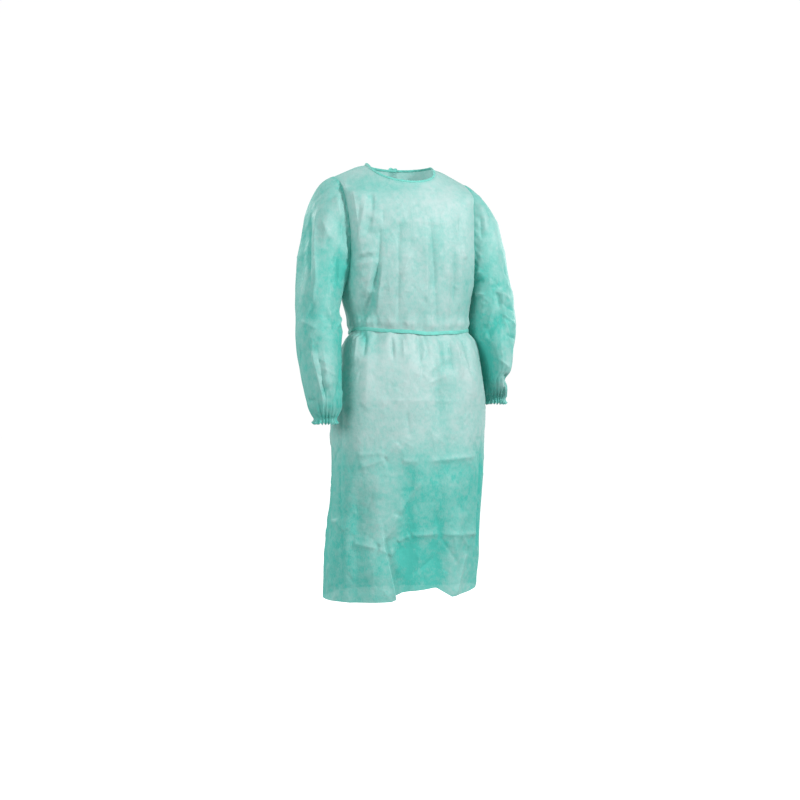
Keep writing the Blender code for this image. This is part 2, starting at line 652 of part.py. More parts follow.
def body_seams(front, left, right):
    """The side seams and the shoulder seams."""
    up_side = range(ARMPIT_ROW + 1)
    shoulder = range(SHOULDER_COLUMNS + 1)
    last = front.points.shape[1] - 1
    return [
        (column_edge(front, last, last - 1, up_side), column_edge(left, 0, 1, up_side)),
        (column_edge(front, 0, 1, up_side), column_edge(right, 0, 1, up_side)),
        (row_edge(front, -1, -2, [last - j for j in shoulder]), row_edge(left, -1, -2, shoulder)),
        (row_edge(front, -1, -2, shoulder), row_edge(right, -1, -2, shoulder)),
    ]


def armhole_seams(sleeve, front, back, side):
    """The sleeve's first ring against the front's armhole, then against the back's."""
    down = range(len(ROWS) - 1, ARMPIT_ROW - 1, -1)
    up = down[::-1]
    edge, inner = (-1, -2) if side > 0 else (0, 1)
    count = sleeve.points.shape[1]
    half = ARMHOLE_ROWS
    return [
        (column_edge(front, edge, inner, down), row_edge(sleeve, 0, 1, range(half + 1))),
        (column_edge(back, 0, 1, up), row_edge(sleeve, 0, 1, [j % count for j in range(half, 2 * half + 1)])),
    ]


def main():
    for old in list(bpy.data.objects):
        bpy.data.objects.remove(old, do_unlink=True)

    front = make_front()
    left = make_back("back_panel_left", 1, OVERLAP_LIFT)
    right = make_back("back_panel_right", -1, 0.0)
    seams = body_seams(front, left, right)
    for first, second in seams:
        meet(first, second)
    sleeve_left = make_sleeve("sleeve_left", LEFT_SLEEVE, 1, front, left)
    sleeve_right = make_sleeve("sleeve_right", RIGHT_SLEEVE, -1, front, right)
    seams += armhole_seams(sleeve_left, front, left, 1)
    seams += armhole_seams(sleeve_right, front, right, -1)
    share_normals(seams)
    open_gaps(seams)
    cuff_left = make_cuff("cuff_left", LEFT_SLEEVE[-1], 1)
    cuff_right = make_cuff("cuff_right", RIGHT_SLEEVE[-1], -1)
    for sleeve, cuff in ((sleeve_left, cuff_left), (sleeve_right, cuff_right)):
        level_rim(sleeve, -1)
        level_rim(cuff, 0)

    for sheet in (front, left, right, sleeve_left, sleeve_right, cuff_left, cuff_right):
        add_solid(sheet, CLOTH_COLOUR)
    waist_tie = make_waist_tie(front, left, right)
    add_solid(waist_tie, BINDING_COLOUR)
    binding = make_binding(front, left, right)
    add_solid(binding, BINDING_COLOUR, BINDING_WALL)

    out = KNOT_HALF_DEPTH + SEAM_GAP + WALL / 2
    middle_z = (TIE_BOTTOM_Z + TIE_TOP_Z) / 2
    point, normal, _ = down_column(left, CENTRE_BACK_COLUMN, middle_z, 0.0)
    add_knot("waist_tie_knot", point + normal * out, normal, BINDING_COLOUR)
    start_z = middle_z - KNOT_HALF_HEIGHT - TAIL_DROP
    for side, suffix in ((1, "left"), (-1, "right")):
        name = f"waist_tie_tail_{suffix}"
        tail = make_tail(name, left, start_z, WAIST_TAIL_LENGTH, WAIST_TAIL_STAND_OFF, side)
        add_solid(tail, BINDING_COLOUR)
    point, normal = left.points[-1, CENTRE_BACK_COLUMN], left.normals[-1, CENTRE_BACK_COLUMN]
    out = KNOT_HALF_DEPTH + SEAM_GAP + BINDING_WALL / 2
    add_knot("neck_tie_knot", point + normal * out, normal, BINDING_COLOUR)
    start_z = point[2] - KNOT_HALF_HEIGHT - TAIL_DROP
    for side, suffix in ((1, "left"), (-1, "right")):
        name = f"neck_tie_tail_{suffix}"
        tail = make_tail(name, left, start_z, NECK_TAIL_LENGTH, NECK_TAIL_STAND_OFF, side)
        add_solid(tail, BINDING_COLOUR)


main()
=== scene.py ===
"""The looks of a disposable isolation gown: thin, crisp, slightly see-through non-woven cloth.

Metres, in the frame's own coordinates: +Z is up, the front faces -Y, the gown's left is at +X and
the origin is the middle of the neck opening. Every panel is a fine single skin on its solid's form:
rings and sections give the worn shape, and folds, gathers and creases move it along its normals.
"""

import math
from collections import namedtuple

import bpy
import numpy as np
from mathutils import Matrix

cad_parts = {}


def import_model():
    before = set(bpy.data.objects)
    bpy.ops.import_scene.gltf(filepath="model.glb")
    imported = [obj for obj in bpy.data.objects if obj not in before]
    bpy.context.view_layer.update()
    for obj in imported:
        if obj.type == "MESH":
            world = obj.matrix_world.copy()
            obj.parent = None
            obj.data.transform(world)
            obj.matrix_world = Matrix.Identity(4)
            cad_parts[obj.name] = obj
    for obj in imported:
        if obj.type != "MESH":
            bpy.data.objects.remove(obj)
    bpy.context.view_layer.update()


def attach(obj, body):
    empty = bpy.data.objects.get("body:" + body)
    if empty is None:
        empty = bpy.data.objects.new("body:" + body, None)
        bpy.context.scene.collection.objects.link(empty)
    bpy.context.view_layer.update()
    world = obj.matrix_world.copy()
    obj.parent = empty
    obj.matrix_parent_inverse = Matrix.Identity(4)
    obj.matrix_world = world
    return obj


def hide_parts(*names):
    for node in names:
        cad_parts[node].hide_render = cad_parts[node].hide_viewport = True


# Fineness: columns for each column of the solid, and the height of a row
DETAIL = 9
ROW_PITCH = 0.0034

# The garment's sizes
HEM_Z = -1.105
ARMPIT_Z = -0.335
TOP_STATION = -0.020
TIE_Z, TIE_HEIGHT = -0.425, 0.0095
NECK_HALF_WIDTH = 0.092
NECK_POINT_Y, NECK_POINT_Z = 0.004, 0.018
NECK_FRONT_Y, NECK_FRONT_Z = -0.086, -0.040
NECK_BACK_Y, NECK_BACK_Z = 0.070, 0.010
SHOULDER_TIP_X, SHOULDER_TIP_Y, SHOULDER_TIP_Z = 0.178, 0.000, -0.024
SHOULDER_LEAN = 0.02
OVERLAP_NECK, OVERLAP_HEM, OVERLAP_LIFT = 0.010, 0.075, 0.004
BINDING_HEIGHT, BINDING_LAP, BINDING_THICKNESS, BINDING_LEAN = 0.0050, 0.0012, 0.0022, 0.15
CUFF_LENGTH = 0.018
TAIL_WIDTH, TAIL_THICKNESS = 0.009, 0.0007
# A tie's ends: how far out the knot's middle and the tails stand, and the tails' length
TieEnd = namedtuple("TieEnd", "knot_out tail_out tail_length")
WAIST_END, NECK_END = TieEnd(0.0055, 0.0015, 0.26), TieEnd(0.0060, 0.0004, 0.15)
KNOT_SIZE, TAIL_BELOW_KNOT = (0.0115, 0.0055, 0.009), 0.0085
TAIL_APART, TAIL_DRIFT = 0.0054, 0.012

SHOULDER_COLUMNS, NECK_COLUMNS, OVERLAP_COLUMNS = 6 * DETAIL, 9 * DETAIL, 2 * DETAIL
NECK_SHARE = NECK_COLUMNS / (NECK_COLUMNS + SHOULDER_COLUMNS)
CENTRE_BACK = SHOULDER_COLUMNS + NECK_COLUMNS
SECTION_ROUNDNESS = 0.80
# How far the neck points' softening reaches
NECK_EASE = 0.02


def table(kind, *rows):
    return tuple(kind(*row) for row in rows)


# Closed rings from the hem to the armpit. front, back and side are the depths in y.
Ring = namedtuple("Ring", "z half_width front back side centre")
RINGS = table(
    Ring,
    (HEM_Z, 0.203, -0.118, 0.135, -0.005, -0.002),
    (-1.000, 0.206, -0.126, 0.136, -0.005, 0.004),
    (-0.870, 0.203, -0.138, 0.137, -0.006, 0.014),
    (-0.730, 0.203, -0.148, 0.138, -0.008, 0.019),
    (-0.600, 0.203, -0.150, 0.130, -0.010, 0.020),
    (-0.500, 0.189, -0.140, 0.112, -0.012, 0.021),
    (-0.455, 0.176, -0.125, 0.096, -0.012, 0.021),
    (-0.430, 0.157, -0.115, 0.088, -0.012, 0.020),
    (-0.420, 0.156, -0.114, 0.088, -0.012, 0.020),
    (-0.385, 0.160, -0.120, 0.093, -0.008, 0.018),
    (ARMPIT_Z, 0.172, -0.128, 0.104, 0.000, 0.017),
)
# Open sections from the armpit to the shoulder. The ends lie on the armholes.
Yoke = namedtuple("Yoke", "station front_z back_z end_z front back front_end back_end half_width centre")
YOKES = table(
    Yoke,
    (-0.270, -0.270, -0.270, -0.275, -0.134, 0.114, -0.052, 0.050, 0.167, 0.015),
    (-0.185, -0.185, -0.185, -0.175, -0.134, 0.118, -0.070, 0.062, 0.166, 0.013),
    (-0.110, -0.112, -0.100, -0.085, -0.121, 0.110, -0.056, 0.048, 0.172, 0.009),
    (-0.065, -0.076, -0.050, -0.045, -0.106, 0.094, -0.032, 0.028, 0.176, 0.006),
)

# Sleeve rings below the cap. half_x and half_y are the half sizes of each level oval.
Oval = namedtuple("Oval", "z x y half_x half_y")
RIGHT_SLEEVE = table(
    Oval,
    (-0.400, -0.2315, -0.035, 0.0565, 0.085),
    (-0.444, -0.2330, -0.050, 0.0575, 0.080),
    (-0.490, -0.2330, -0.060, 0.0555, 0.075),
    (-0.524, -0.2320, -0.068, 0.0525, 0.070),
    (-0.566, -0.2300, -0.077, 0.0485, 0.064),
    (-0.600, -0.2275, -0.085, 0.0460, 0.056),
    (-0.622, -0.2260, -0.090, 0.0425, 0.047),
    (-0.640, -0.2255, -0.094, 0.0325, 0.036),
)
LEFT_SLEEVE = table(
    Oval,
    (-0.400, 0.2505, -0.010, 0.0650, 0.085),
    (-0.444, 0.2505, -0.022, 0.0550, 0.080),
    (-0.490, 0.2545, -0.025, 0.0400, 0.075),
    (-0.524, 0.2560, -0.025, 0.0350, 0.068),
    (-0.546, 0.2500, -0.026, 0.0265, 0.054),
    (-0.562, 0.2555, -0.025, 0.0290, 0.047),
    (-0.580, 0.2590, -0.023, 0.0300, 0.038),
    (-0.590, 0.2610, -0.020, 0.0295, 0.032),
)
CAP_OUT, CAP_FORWARD, CAP_DOWN, CAP_TIP_LIFT = 0.75, 0.30, 0.55, 0.25
CAP_FULLNESS = 0.8
SLEEVE_GIRTH = 0.44
# The cap's length, and how much finer the rows below it are
CAP_LENGTH, FINER_BELOW_CAP = 0.33, 1.2

# Soft ridges (positive) and troughs (negative) along straight lines. The solid's own come first;
# across and along are x and z on a panel, and metres round it and z on a sleeve.
Fold = namedtuple("Fold", "x0 z0 x1 z1 half depth")
FRONT_FOLDS = table(
    Fold,
    (-0.106, -0.065, -0.106, -0.137, 0.012, -0.005),
    (-0.106, -0.130, -0.129, -0.190, 0.012, -0.005),
    (-0.092, -0.250, -0.106, -0.328, 0.013, -0.006),
    (-0.106, -0.320, -0.124, -0.412, 0.013, -0.007),
    (0.040, -0.150, 0.052, -0.420, 0.014, -0.005),
    (0.052, -0.440, 0.062, -0.700, 0.016, -0.006),
    (-0.045, -0.330, -0.050, -0.520, 0.012, 0.005),
    (-0.110, -0.430, -0.128, -0.640, 0.020, 0.007),
    (0.130, -0.430, 0.165, -0.640, 0.020, 0.007),
    (-0.140, -0.780, -0.155, -1.200, 0.022, -0.006),
    (0.120, -0.850, 0.105, -1.200, 0.024, 0.010),
    (0.060, -0.780, 0.060, -1.300, 0.026, -0.008),
    # finer folds of the chest and the waist
    (-0.120, -0.070, -0.146, -0.230, 0.009, 0.003),
    (-0.092, -0.050, -0.112, -0.190, 0.008, 0.002),
    (-0.088, -0.150, -0.098, -0.340, 0.008, -0.003),
    (-0.096, -0.270, -0.126, -0.440, 0.008, -0.003),
    (-0.108, -0.240, -0.120, -0.370, 0.010, 0.004),
    (-0.084, -0.240, -0.092, -0.400, 0.008, 0.004),
    (-0.128, -0.260, -0.138, -0.400, 0.010, 0.004),
    (-0.150, -0.232, -0.095, -0.222, 0.007, 0.003),
    (-0.150, -0.262, -0.098, -0.243, 0.008, 0.003),
    (-0.150, -0.247, -0.100, -0.234, 0.006, -0.003),
    (-0.040, -0.140, -0.040, -0.215, 0.009, -0.003),
    (-0.010, -0.215, -0.036, -0.300, 0.009, 0.003),
    (0.028, -0.160, 0.037, -0.400, 0.008, 0.003),
    (0.108, -0.190, 0.118, -0.390, 0.009, -0.004),
    (0.126, -0.170, 0.134, -0.400, 0.009, 0.004),
    (0.092, -0.240, 0.098, -0.400, 0.008, 0.003),
    (0.145, -0.240, 0.128, -0.205, 0.007, 0.003),
    (0.076, -0.433, 0.070, -0.530, 0.006, -0.004),
    (0.100, -0.433, 0.099, -0.540, 0.006, -0.004),
    (0.116, -0.433, 0.126, -0.560, 0.007, 0.004),
    (0.140, -0.433, 0.156, -0.550, 0.008, -0.005),
    (-0.113, -0.425, -0.127, -0.500, 0.007, -0.006),
    (-0.130, -0.430, -0.148, -0.520, 0.008, 0.005),
    (-0.055, -0.430, -0.058, -0.505, 0.005, -0.004),
    (-0.028, -0.430, -0.030, -0.500, 0.006, 0.003),
    (0.010, -0.430, 0.016, -0.560, 0.009, -0.003),
    # the skirt's two soft bulges, the hollow between them, and the side strips
    (-0.098, -0.740, -0.092, -0.985, 0.044, 0.009),
    (0.092, -0.760, 0.088, -0.960, 0.050, 0.006),
    (-0.006, -0.740, -0.040, -1.060, 0.018, -0.006),
    (-0.010, -0.900, -0.018, -1.300, 0.028, -0.007),
    (-0.175, -0.500, -0.182, -1.200, 0.008, -0.004),
    (0.196, -0.620, 0.190, -1.080, 0.007, -0.004),
)
BACK_FOLDS = table(
    Fold,
    (-0.100, -0.120, -0.085, -0.400, 0.020, 0.006),
    (0.110, -0.100, 0.090, -0.400, 0.022, -0.006),
    (-0.120, -0.460, -0.150, -1.080, 0.026, 0.010),
    (0.120, -0.460, 0.145, -1.080, 0.026, 0.010),
    (-0.070, -0.480, -0.090, -1.100, 0.022, -0.008),
    (0.095, -0.700, 0.100, -1.100, 0.022, -0.008),
    # finer folds
    (-0.130, -0.090, -0.120, -0.230, 0.010, -0.004),
    (0.132, -0.085, 0.120, -0.260, 0.010, 0.004),
    (0.060, -0.080, 0.050, -0.380, 0.012, 0.004),
    (-0.050, -0.110, -0.040, -0.400, 0.012, -0.004),
    (0.020, -0.160, 0.026, -0.400, 0.009, 0.003),
    (-0.150, -0.260, -0.095, -0.235, 0.008, 0.003),
    (0.155, -0.270, 0.105, -0.240, 0.008, 0.003),
    (-0.140, -0.433, -0.160, -0.560, 0.008, -0.005),
    (0.065, -0.433, 0.070, -0.560, 0.007, -0.004),
    (-0.030, -0.433, -0.034, -0.540, 0.007, 0.004),
    (0.030, -0.560, 0.036, -1.200, 0.018, 0.006),
    (0.165, -0.560, 0.172, -1.200, 0.014, -0.006),
    (-0.175, -0.620, -0.180, -1.200, 0.012, -0.005),
)
# Folds of a sleeve: turn is the share of the girth from the outside (0.25 front, 0.5 inside)
SleeveFold = namedtuple("SleeveFold", "turn0 z0 turn1 z1 half depth")
SHARED_SLEEVE_FOLDS = table(
    SleeveFold,
    (0.12, -0.080, 0.20, -0.240, 0.016, 0.006),
    (0.30, -0.090, 0.30, -0.230, 0.014, -0.006),
    (0.02, -0.120, 0.08, -0.340, 0.018, -0.006),
    (0.12, -0.450, 0.28, -0.600, 0.014, 0.006),
    (0.20, -0.380, 0.42, -0.430, 0.014, -0.006),
    (0.95, -0.360, 0.80, -0.430, 0.016, -0.006),
    (0.70, -0.100, 0.78, -0.300, 0.018, 0.006),
    (0.62, -0.450, 0.72, -0.580, 0.016, -0.005),
    (0.85, -0.120, 0.88, -0.300, 0.010, -0.004),
    (0.64, -0.160, 0.66, -0.330, 0.010, 0.004),
    (0.78, -0.330, 0.62, -0.380, 0.010, 0.004),
    (0.90, -0.440, 0.78, -0.560, 0.010, 0.004),
)
RIGHT_SLEEVE_FOLDS = table(
    SleeveFold,
    (0.100, -0.055, 0.165, -0.110, 0.006, 0.004),
    (0.114, -0.075, 0.224, -0.160, 0.007, 0.005),
    (0.224, -0.155, 0.330, -0.250, 0.007, 0.005),
    (0.170, -0.110, 0.270, -0.210, 0.006, -0.004),
    (0.119, -0.135, 0.215, -0.205, 0.006, 0.003),
    (0.030, -0.090, 0.154, -0.330, 0.007, -0.005),
    (0.069, -0.090, 0.193, -0.330, 0.007, 0.005),
    (0.260, -0.220, 0.360, -0.320, 0.007, -0.005),
    (0.300, -0.200, 0.400, -0.290, 0.006, 0.004),
    (0.060, -0.398, 0.210, -0.425, 0.007, 0.003),
    (0.211, -0.425, 0.340, -0.420, 0.006, -0.003),
    (0.151, -0.460, 0.210, -0.630, 0.005, 0.005),
    (0.185, -0.460, 0.235, -0.620, 0.006, -0.004),
    (0.000, -0.603, 0.160, -0.600, 0.005, -0.004),
    (0.221, -0.463, 0.262, -0.590, 0.006, 0.003),
    (0.400, -0.500, 0.341, -0.600, 0.007, -0.004),
    (0.440, -0.380, 0.330, -0.430, 0.006, 0.004),
    (0.370, -0.376, 0.640, -0.368, 0.016, -0.008),
    (0.380, -0.428, 0.620, -0.420, 0.014, 0.004),
)
LEFT_SLEEVE_FOLDS = table(
    SleeveFold,
    (0.109, -0.075, 0.216, -0.170, 0.006, 0.004),
    (0.101, -0.090, 0.182, -0.160, 0.005, -0.004),
    (0.150, -0.100, 0.250, -0.190, 0.005, -0.004),
    (0.420, -0.270, 0.312, -0.262, 0.006, 0.004),
    (0.420, -0.290, 0.320, -0.285, 0.006, -0.004),
    (0.430, -0.318, 0.330, -0.324, 0.006, 0.004),
    (0.235, -0.300, 0.225, -0.390, 0.006, 0.004),
    (0.290, -0.310, 0.150, -0.335, 0.006, 0.004),
    (0.270, -0.345, 0.120, -0.365, 0.005, -0.004),
    (0.260, -0.370, 0.120, -0.410, 0.006, 0.004),
    (0.186, -0.456, 0.240, -0.380, 0.006, 0.004),
    (0.240, -0.430, 0.090, -0.440, 0.005, -0.003),
    (0.314, -0.490, 0.180, -0.520, 0.006, 0.003),
    (0.261, -0.530, 0.080, -0.545, 0.005, -0.005),
    (0.282, -0.553, 0.133, -0.575, 0.005, 0.004),
    (0.100, -0.560, 0.260, -0.570, 0.004, -0.003),
)

# Soft patches of painted light (positive, paler) and painted shade (negative, deeper): shade in the armpits,
# beside the sleeves and between the legs, and deeper strips along the sides
LightAndShadePatch = namedtuple("LightAndShadePatch", "x z half_x half_z tone")
FRONT_LIGHT_AND_SHADE = table(
    LightAndShadePatch,
    (-0.090, -0.860, 0.080, 0.130, 0.14),
    (-0.010, -0.960, 0.030, 0.150, -0.14),
    (-0.205, -0.900, 0.014, 0.260, -0.08),
    (0.105, -0.870, 0.070, 0.110, -0.12),
    (-0.130, -1.040, 0.060, 0.070, 0.08),
    (0.195, -0.850, 0.014, 0.200, -0.10),
    (0.075, -0.095, 0.075, 0.045, 0.20),
    (-0.120, -0.050, 0.050, 0.030, -0.30),
    (-0.030, -0.055, 0.060, 0.014, -0.25),
    (-0.165, -0.250, 0.016, 0.060, -0.40),
    (-0.150, -0.320, 0.020, 0.110, -0.30),
    (-0.100, -0.330, 0.010, 0.080, -0.25),
    (-0.118, -0.440, 0.016, 0.050, -0.40),
    (-0.170, -0.560, 0.022, 0.130, -0.35),
    (0.060, -0.200, 0.030, 0.060, -0.12),
    (0.152, -0.330, 0.022, 0.090, -0.22),
    (0.080, -0.560, 0.022, 0.140, -0.14),
    (-0.020, -0.540, 0.080, 0.110, 0.16),
)
BACK_LIGHT_AND_SHADE = table(
    LightAndShadePatch,
    (-0.195, -0.900, 0.030, 0.300, -0.20),
    (0.195, -0.900, 0.030, 0.300, -0.20),
    (-0.080, -0.200, 0.060, 0.090, 0.16),
    (0.080, -0.180, 0.060, 0.090, 0.16),
    (-0.060, -0.600, 0.070, 0.080, 0.12),
)
# On a sleeve x is the turn
SLEEVE_LIGHT_AND_SHADE = table(
    LightAndShadePatch,
    (0.200, -0.110, 0.080, 0.050, 0.10),
    (0.700, -0.160, 0.120, 0.100, 0.10),
    (0.340, -0.270, 0.080, 0.060, -0.34),
    (0.150, -0.380, 0.080, 0.060, -0.08),
    (0.220, -0.520, 0.060, 0.080, 0.14),
    (0.430, -0.500, 0.100, 0.110, -0.30),
    (0.950, -0.450, 0.080, 0.100, -0.12),
)

# Crisp creases from the packing: two sides meet in a line
FRONT_CREASES = table(
    Fold,
    (-0.140, -0.772, -0.078, -0.749, 0.009, 0.0035),
    (-0.082, -0.750, -0.047, -0.706, 0.009, 0.0035),
    (-0.148, -0.740, -0.080, -0.734, 0.007, 0.0018),
    (-0.040, -0.755, 0.006, -0.756, 0.008, 0.0022),
    (0.026, -0.756, 0.176, -0.744, 0.010, 0.0035),
    (-0.158, -0.963, -0.098, -0.973, 0.010, 0.0040),
    (-0.100, -0.972, -0.052, -0.996, 0.009, 0.0035),
    (-0.099, -0.968, -0.060, -0.934, 0.008, 0.0030),
    (-0.046, -0.962, -0.012, -0.943, 0.008, 0.0035),
    (-0.014, -0.944, 0.072, -0.943, 0.010, 0.0040),
    (0.068, -0.943, 0.198, -0.949, 0.010, 0.0040),
    (0.122, -0.942, 0.164, -0.987, 0.007, 0.0022),
    (0.016, -0.800, -0.046, -0.893, 0.007, 0.0030),
    (-0.048, -0.889, -0.066, -0.940, 0.008, 0.0030),
    (-0.049, -0.568, -0.082, -0.620, 0.007, 0.0016),
    (0.152, -0.990, 0.112, -1.112, 0.008, 0.0035),
    (-0.192, -0.905, -0.170, -0.934, 0.007, 0.0030),
    (-0.065, -0.149, 0.098, -0.145, 0.008, 0.0012),
    (-0.110, -0.600, 0.120, -0.603, 0.009, 0.0012),
    (0.048, -0.300, 0.050, -0.420, 0.006, 0.0012),
    (-0.071, -0.990, -0.058, -1.112, 0.006, 0.0030),
    (-0.045, -0.160, -0.039, -0.430, 0.006, -0.0020),
    (0.039, -0.120, 0.067, -0.425, 0.006, -0.0022),
    (0.098, -0.270, 0.100, -0.410, 0.006, -0.0020),
    (0.125, -0.180, 0.134, -0.415, 0.006, -0.0022),
    (-0.090, -0.160, -0.098, -0.330, 0.006, -0.0018),
    (-0.150, -0.060, -0.138, -0.180, 0.006, 0.0022),
    (-0.136, -0.095, -0.150, -0.240, 0.006, -0.0020),
)
BACK_CREASES = table(
    Fold,
    (-0.170, -0.752, 0.185, -0.748, 0.010, 0.0035),
    (-0.175, -0.946, 0.020, -0.944, 0.010, 0.0035),
    (0.030, -0.950, 0.190, -0.943, 0.010, 0.0035),
    (-0.150, -0.560, 0.160, -0.556, 0.009, 0.0022),
    (-0.120, -0.270, 0.130, -0.266, 0.009, 0.0015),
    (0.096, -0.500, 0.099, -1.100, 0.008, 0.0022),
    (-0.098, -0.560, -0.100, -1.100, 0.008, 0.0022),
    (0.130, -0.760, 0.170, -0.840, 0.007, 0.0025),
    (-0.040, -0.760, -0.080, -0.830, 0.007, 0.0022),
)

# Small gathers where the tie draws the waist in
WAIST_GATHERS = 16
GATHER_DEPTH, GATHER_REACH_UP, GATHER_REACH_DOWN = 0.0046, 0.045, 0.070
GATHER_UNEVENNESS, GATHER_DRIFT = 0.3, 0.9
TIE_PRESS, FOLD_PRESS, TIE_PRESS_HALF = 0.75, 0.92, 0.012
FINE_GATHERS, FINE_GATHER_DEPTH, FINE_GATHER_REACH = 47, 0.0014, 0.022
BLOUSE_HEIGHT, BLOUSE_Z, BLOUSE_HALF = 0.0030, -0.404, 0.012
# How far the tie hangs below its level, against x
SagPoint = namedtuple("SagPoint", "x drop")
TIE_SAG = table(
    SagPoint,
    (-0.165, -0.014),
    (-0.12, -0.007),
    (-0.04, 0.0),
    (0.05, 0.005),
    (0.12, 0.000),
    (0.165, -0.007),
)
SAG_REACH = 0.06

# The front's hem stands forward at the near side and turns back at a fold
STEP_TOP_X, STEP_TOP_Z, STEP_HEM_X = -0.092, -0.890, -0.054
STEP_DEPTH, STEP_SHARPNESS, STEP_REACH = 0.044, 0.008, 0.150
HemPoint = namedtuple("HemPoint", "x rise")
HEM_POINTS = table(
    HemPoint,
    (-0.210, -0.008),
    (-0.160, -0.010),
    (-0.070, -0.003),
    (-0.030, 0.014),
    (0.065, 0.022),
    (0.105, -0.001),
    (0.160, 0.006),
    (0.205, 0.016),
)
HEM_RISE_REACH = 0.16
SIDE_FADE = 0.06
NARROW_STRENGTH, BROAD_STRENGTH, CREASE_STRENGTH = 1.55, 1.15, 1.5
# How strongly fold ridges are painted paler as highlights and troughs deeper as shade, and the height at which
# that is full
FOLD_HIGHLIGHT_AND_SHADE, FOLD_FULL = 0.15, 0.006
SEAM_ALLOWANCE, SEAM_SOFTNESS, CASING_LAYERS = 0.008, 0.002, 1.6

# Puckers of the sleeve along the armhole seam
PUCKERS, PUCKER_DEPTH, PUCKER_REACH = 31, 0.0016, 0.012
# The wrist elastic
WRIST_GATHERS = 22
WRIST_DEPTH, WRIST_REACH = 0.0032, 0.045
CUFF_PINCH, CUFF_FLARE, CUFF_ROWS = 0.14, 0.05, 12

# Camera: where the photograph was taken from
CAMERA_AZIMUTH, CAMERA_DISTANCE, CAMERA_HEIGHT, LENS = -17.0, 3.75, -0.6, 64.2
FLOOR_Z, STUDIO_RADIUS = -1.51, 30.0
# Name, place, what it is aimed at, diameter and watts
LIGHTS = (
    ("key", (2.7, -3.3, 1.6), (0.0, 0.0, -0.7), 0.9, 245),
    ("fill", (-3.2, -2.6, 0.3), (0.0, 0.0, -0.7), 1.6, 92),
    ("back left", (-2.4, 3.2, 1.7), (0.0, 0.0, -0.7), 0.9, 105),
    ("back right", (2.8, 2.1, 0.3), (0.0, 0.0, -0.6), 1.4, 38),
)

# Colours, as the cloth's own, and the heights between which it turns paler
PALE_FROM, PALE_TO, PALE_RISE = -0.790, -0.680, 0.50
SLEEVE_PALE_FROM, SLEEVE_PALE_OVER, SLEEVE_PALE_RISE = -0.42, 0.14, 0.10
BODY_TONE, SLEEVE_TONE, DOUBLED_TONE = 0.22, 0.27, 0.15
LIGHT_THROUGH, HOLES_SHARE = 0.30, 0.035
PALE_CLOTH = (0.475, 0.615, 0.603)
DEEP_CLOTH = (0.066, 0.485, 0.418)
THREAD = (0.20, 0.58, 0.50)
BINDING = (0.105, 0.43, 0.37)


def smooth(x):
    """0 below 0, 1 above 1, and an S between."""
    x = np.clip(x, 0.0, 1.0)
    return x * x * (3 - 2 * x)


def unit(vectors):
    return vectors / np.maximum(np.linalg.norm(vectors, axis=-1, keepdims=True), 1e-12)


def follow(x, points):
    """The second value of the points, between them in proportion to x."""
    return np.interp(x, *zip(*points))


def cubic(t, start, leave, end, arrive, span=1.0):
    """The curve from start (t = 0) to end (1) that has the given slopes there, times span."""
    return (
        (2 * t**3 - 3 * t**2 + 1) * start
        + (t**3 - 2 * t**2 + t) * span * leave
        + (3 * t**2 - 2 * t**3) * end
        + (t**3 - t**2) * span * arrive
    )


def loft(sections, stations, targets):
    """The points at each target station on a smooth surface through the sections."""
    sections, stations, targets = np.array(sections), np.array(stations), np.array(targets)
    slopes = np.gradient(sections, stations, axis=0)
    k = np.clip(np.searchsorted(stations, targets, side="right") - 1, 0, len(stations) - 2)
    span = (stations[k + 1] - stations[k])[:, None, None]
    t = (targets - stations[k])[:, None, None] / span
    return cubic(t, sections[k], slopes[k], sections[k + 1], slopes[k + 1], span)


def lattice_noise(points, size, seed):
    """Smooth noise from -1 to 1 in space. size is the spacing of its bumps, one value or one an axis."""
    cells = 48
    lattice = np.random.default_rng(seed).uniform(-1, 1, (cells, cells, cells))
    place = points / np.array(size)
    whole = np.floor(place).astype(int)
    part = smooth(place - whole)
    total = np.zeros(points.shape[:-1])
    for corner in np.ndindex(2, 2, 2):
        weight = np.prod(np.where(corner, part, 1 - part), axis=-1)
        index = (whole + corner) % cells
        total += weight * lattice[index[..., 0], index[..., 1], index[..., 2]]
    return total


ROWS_BELOW = round((ARMPIT_Z - HEM_Z) / ROW_PITCH)
ARMHOLE_ROWS = round((TOP_STATION - ARMPIT_Z) / ROW_PITCH)
ARMPIT_ROW = ROWS_BELOW
ROWS = np.concatenate(
    [
        np.linspace(HEM_Z, ARMPIT_Z, ROWS_BELOW + 1),
        np.linspace(ARMPIT_Z, TOP_STATION, ARMHOLE_ROWS + 1)[1:],
    ]
)
TIE_ROW = int(np.argmin(abs(ROWS - TIE_Z)))


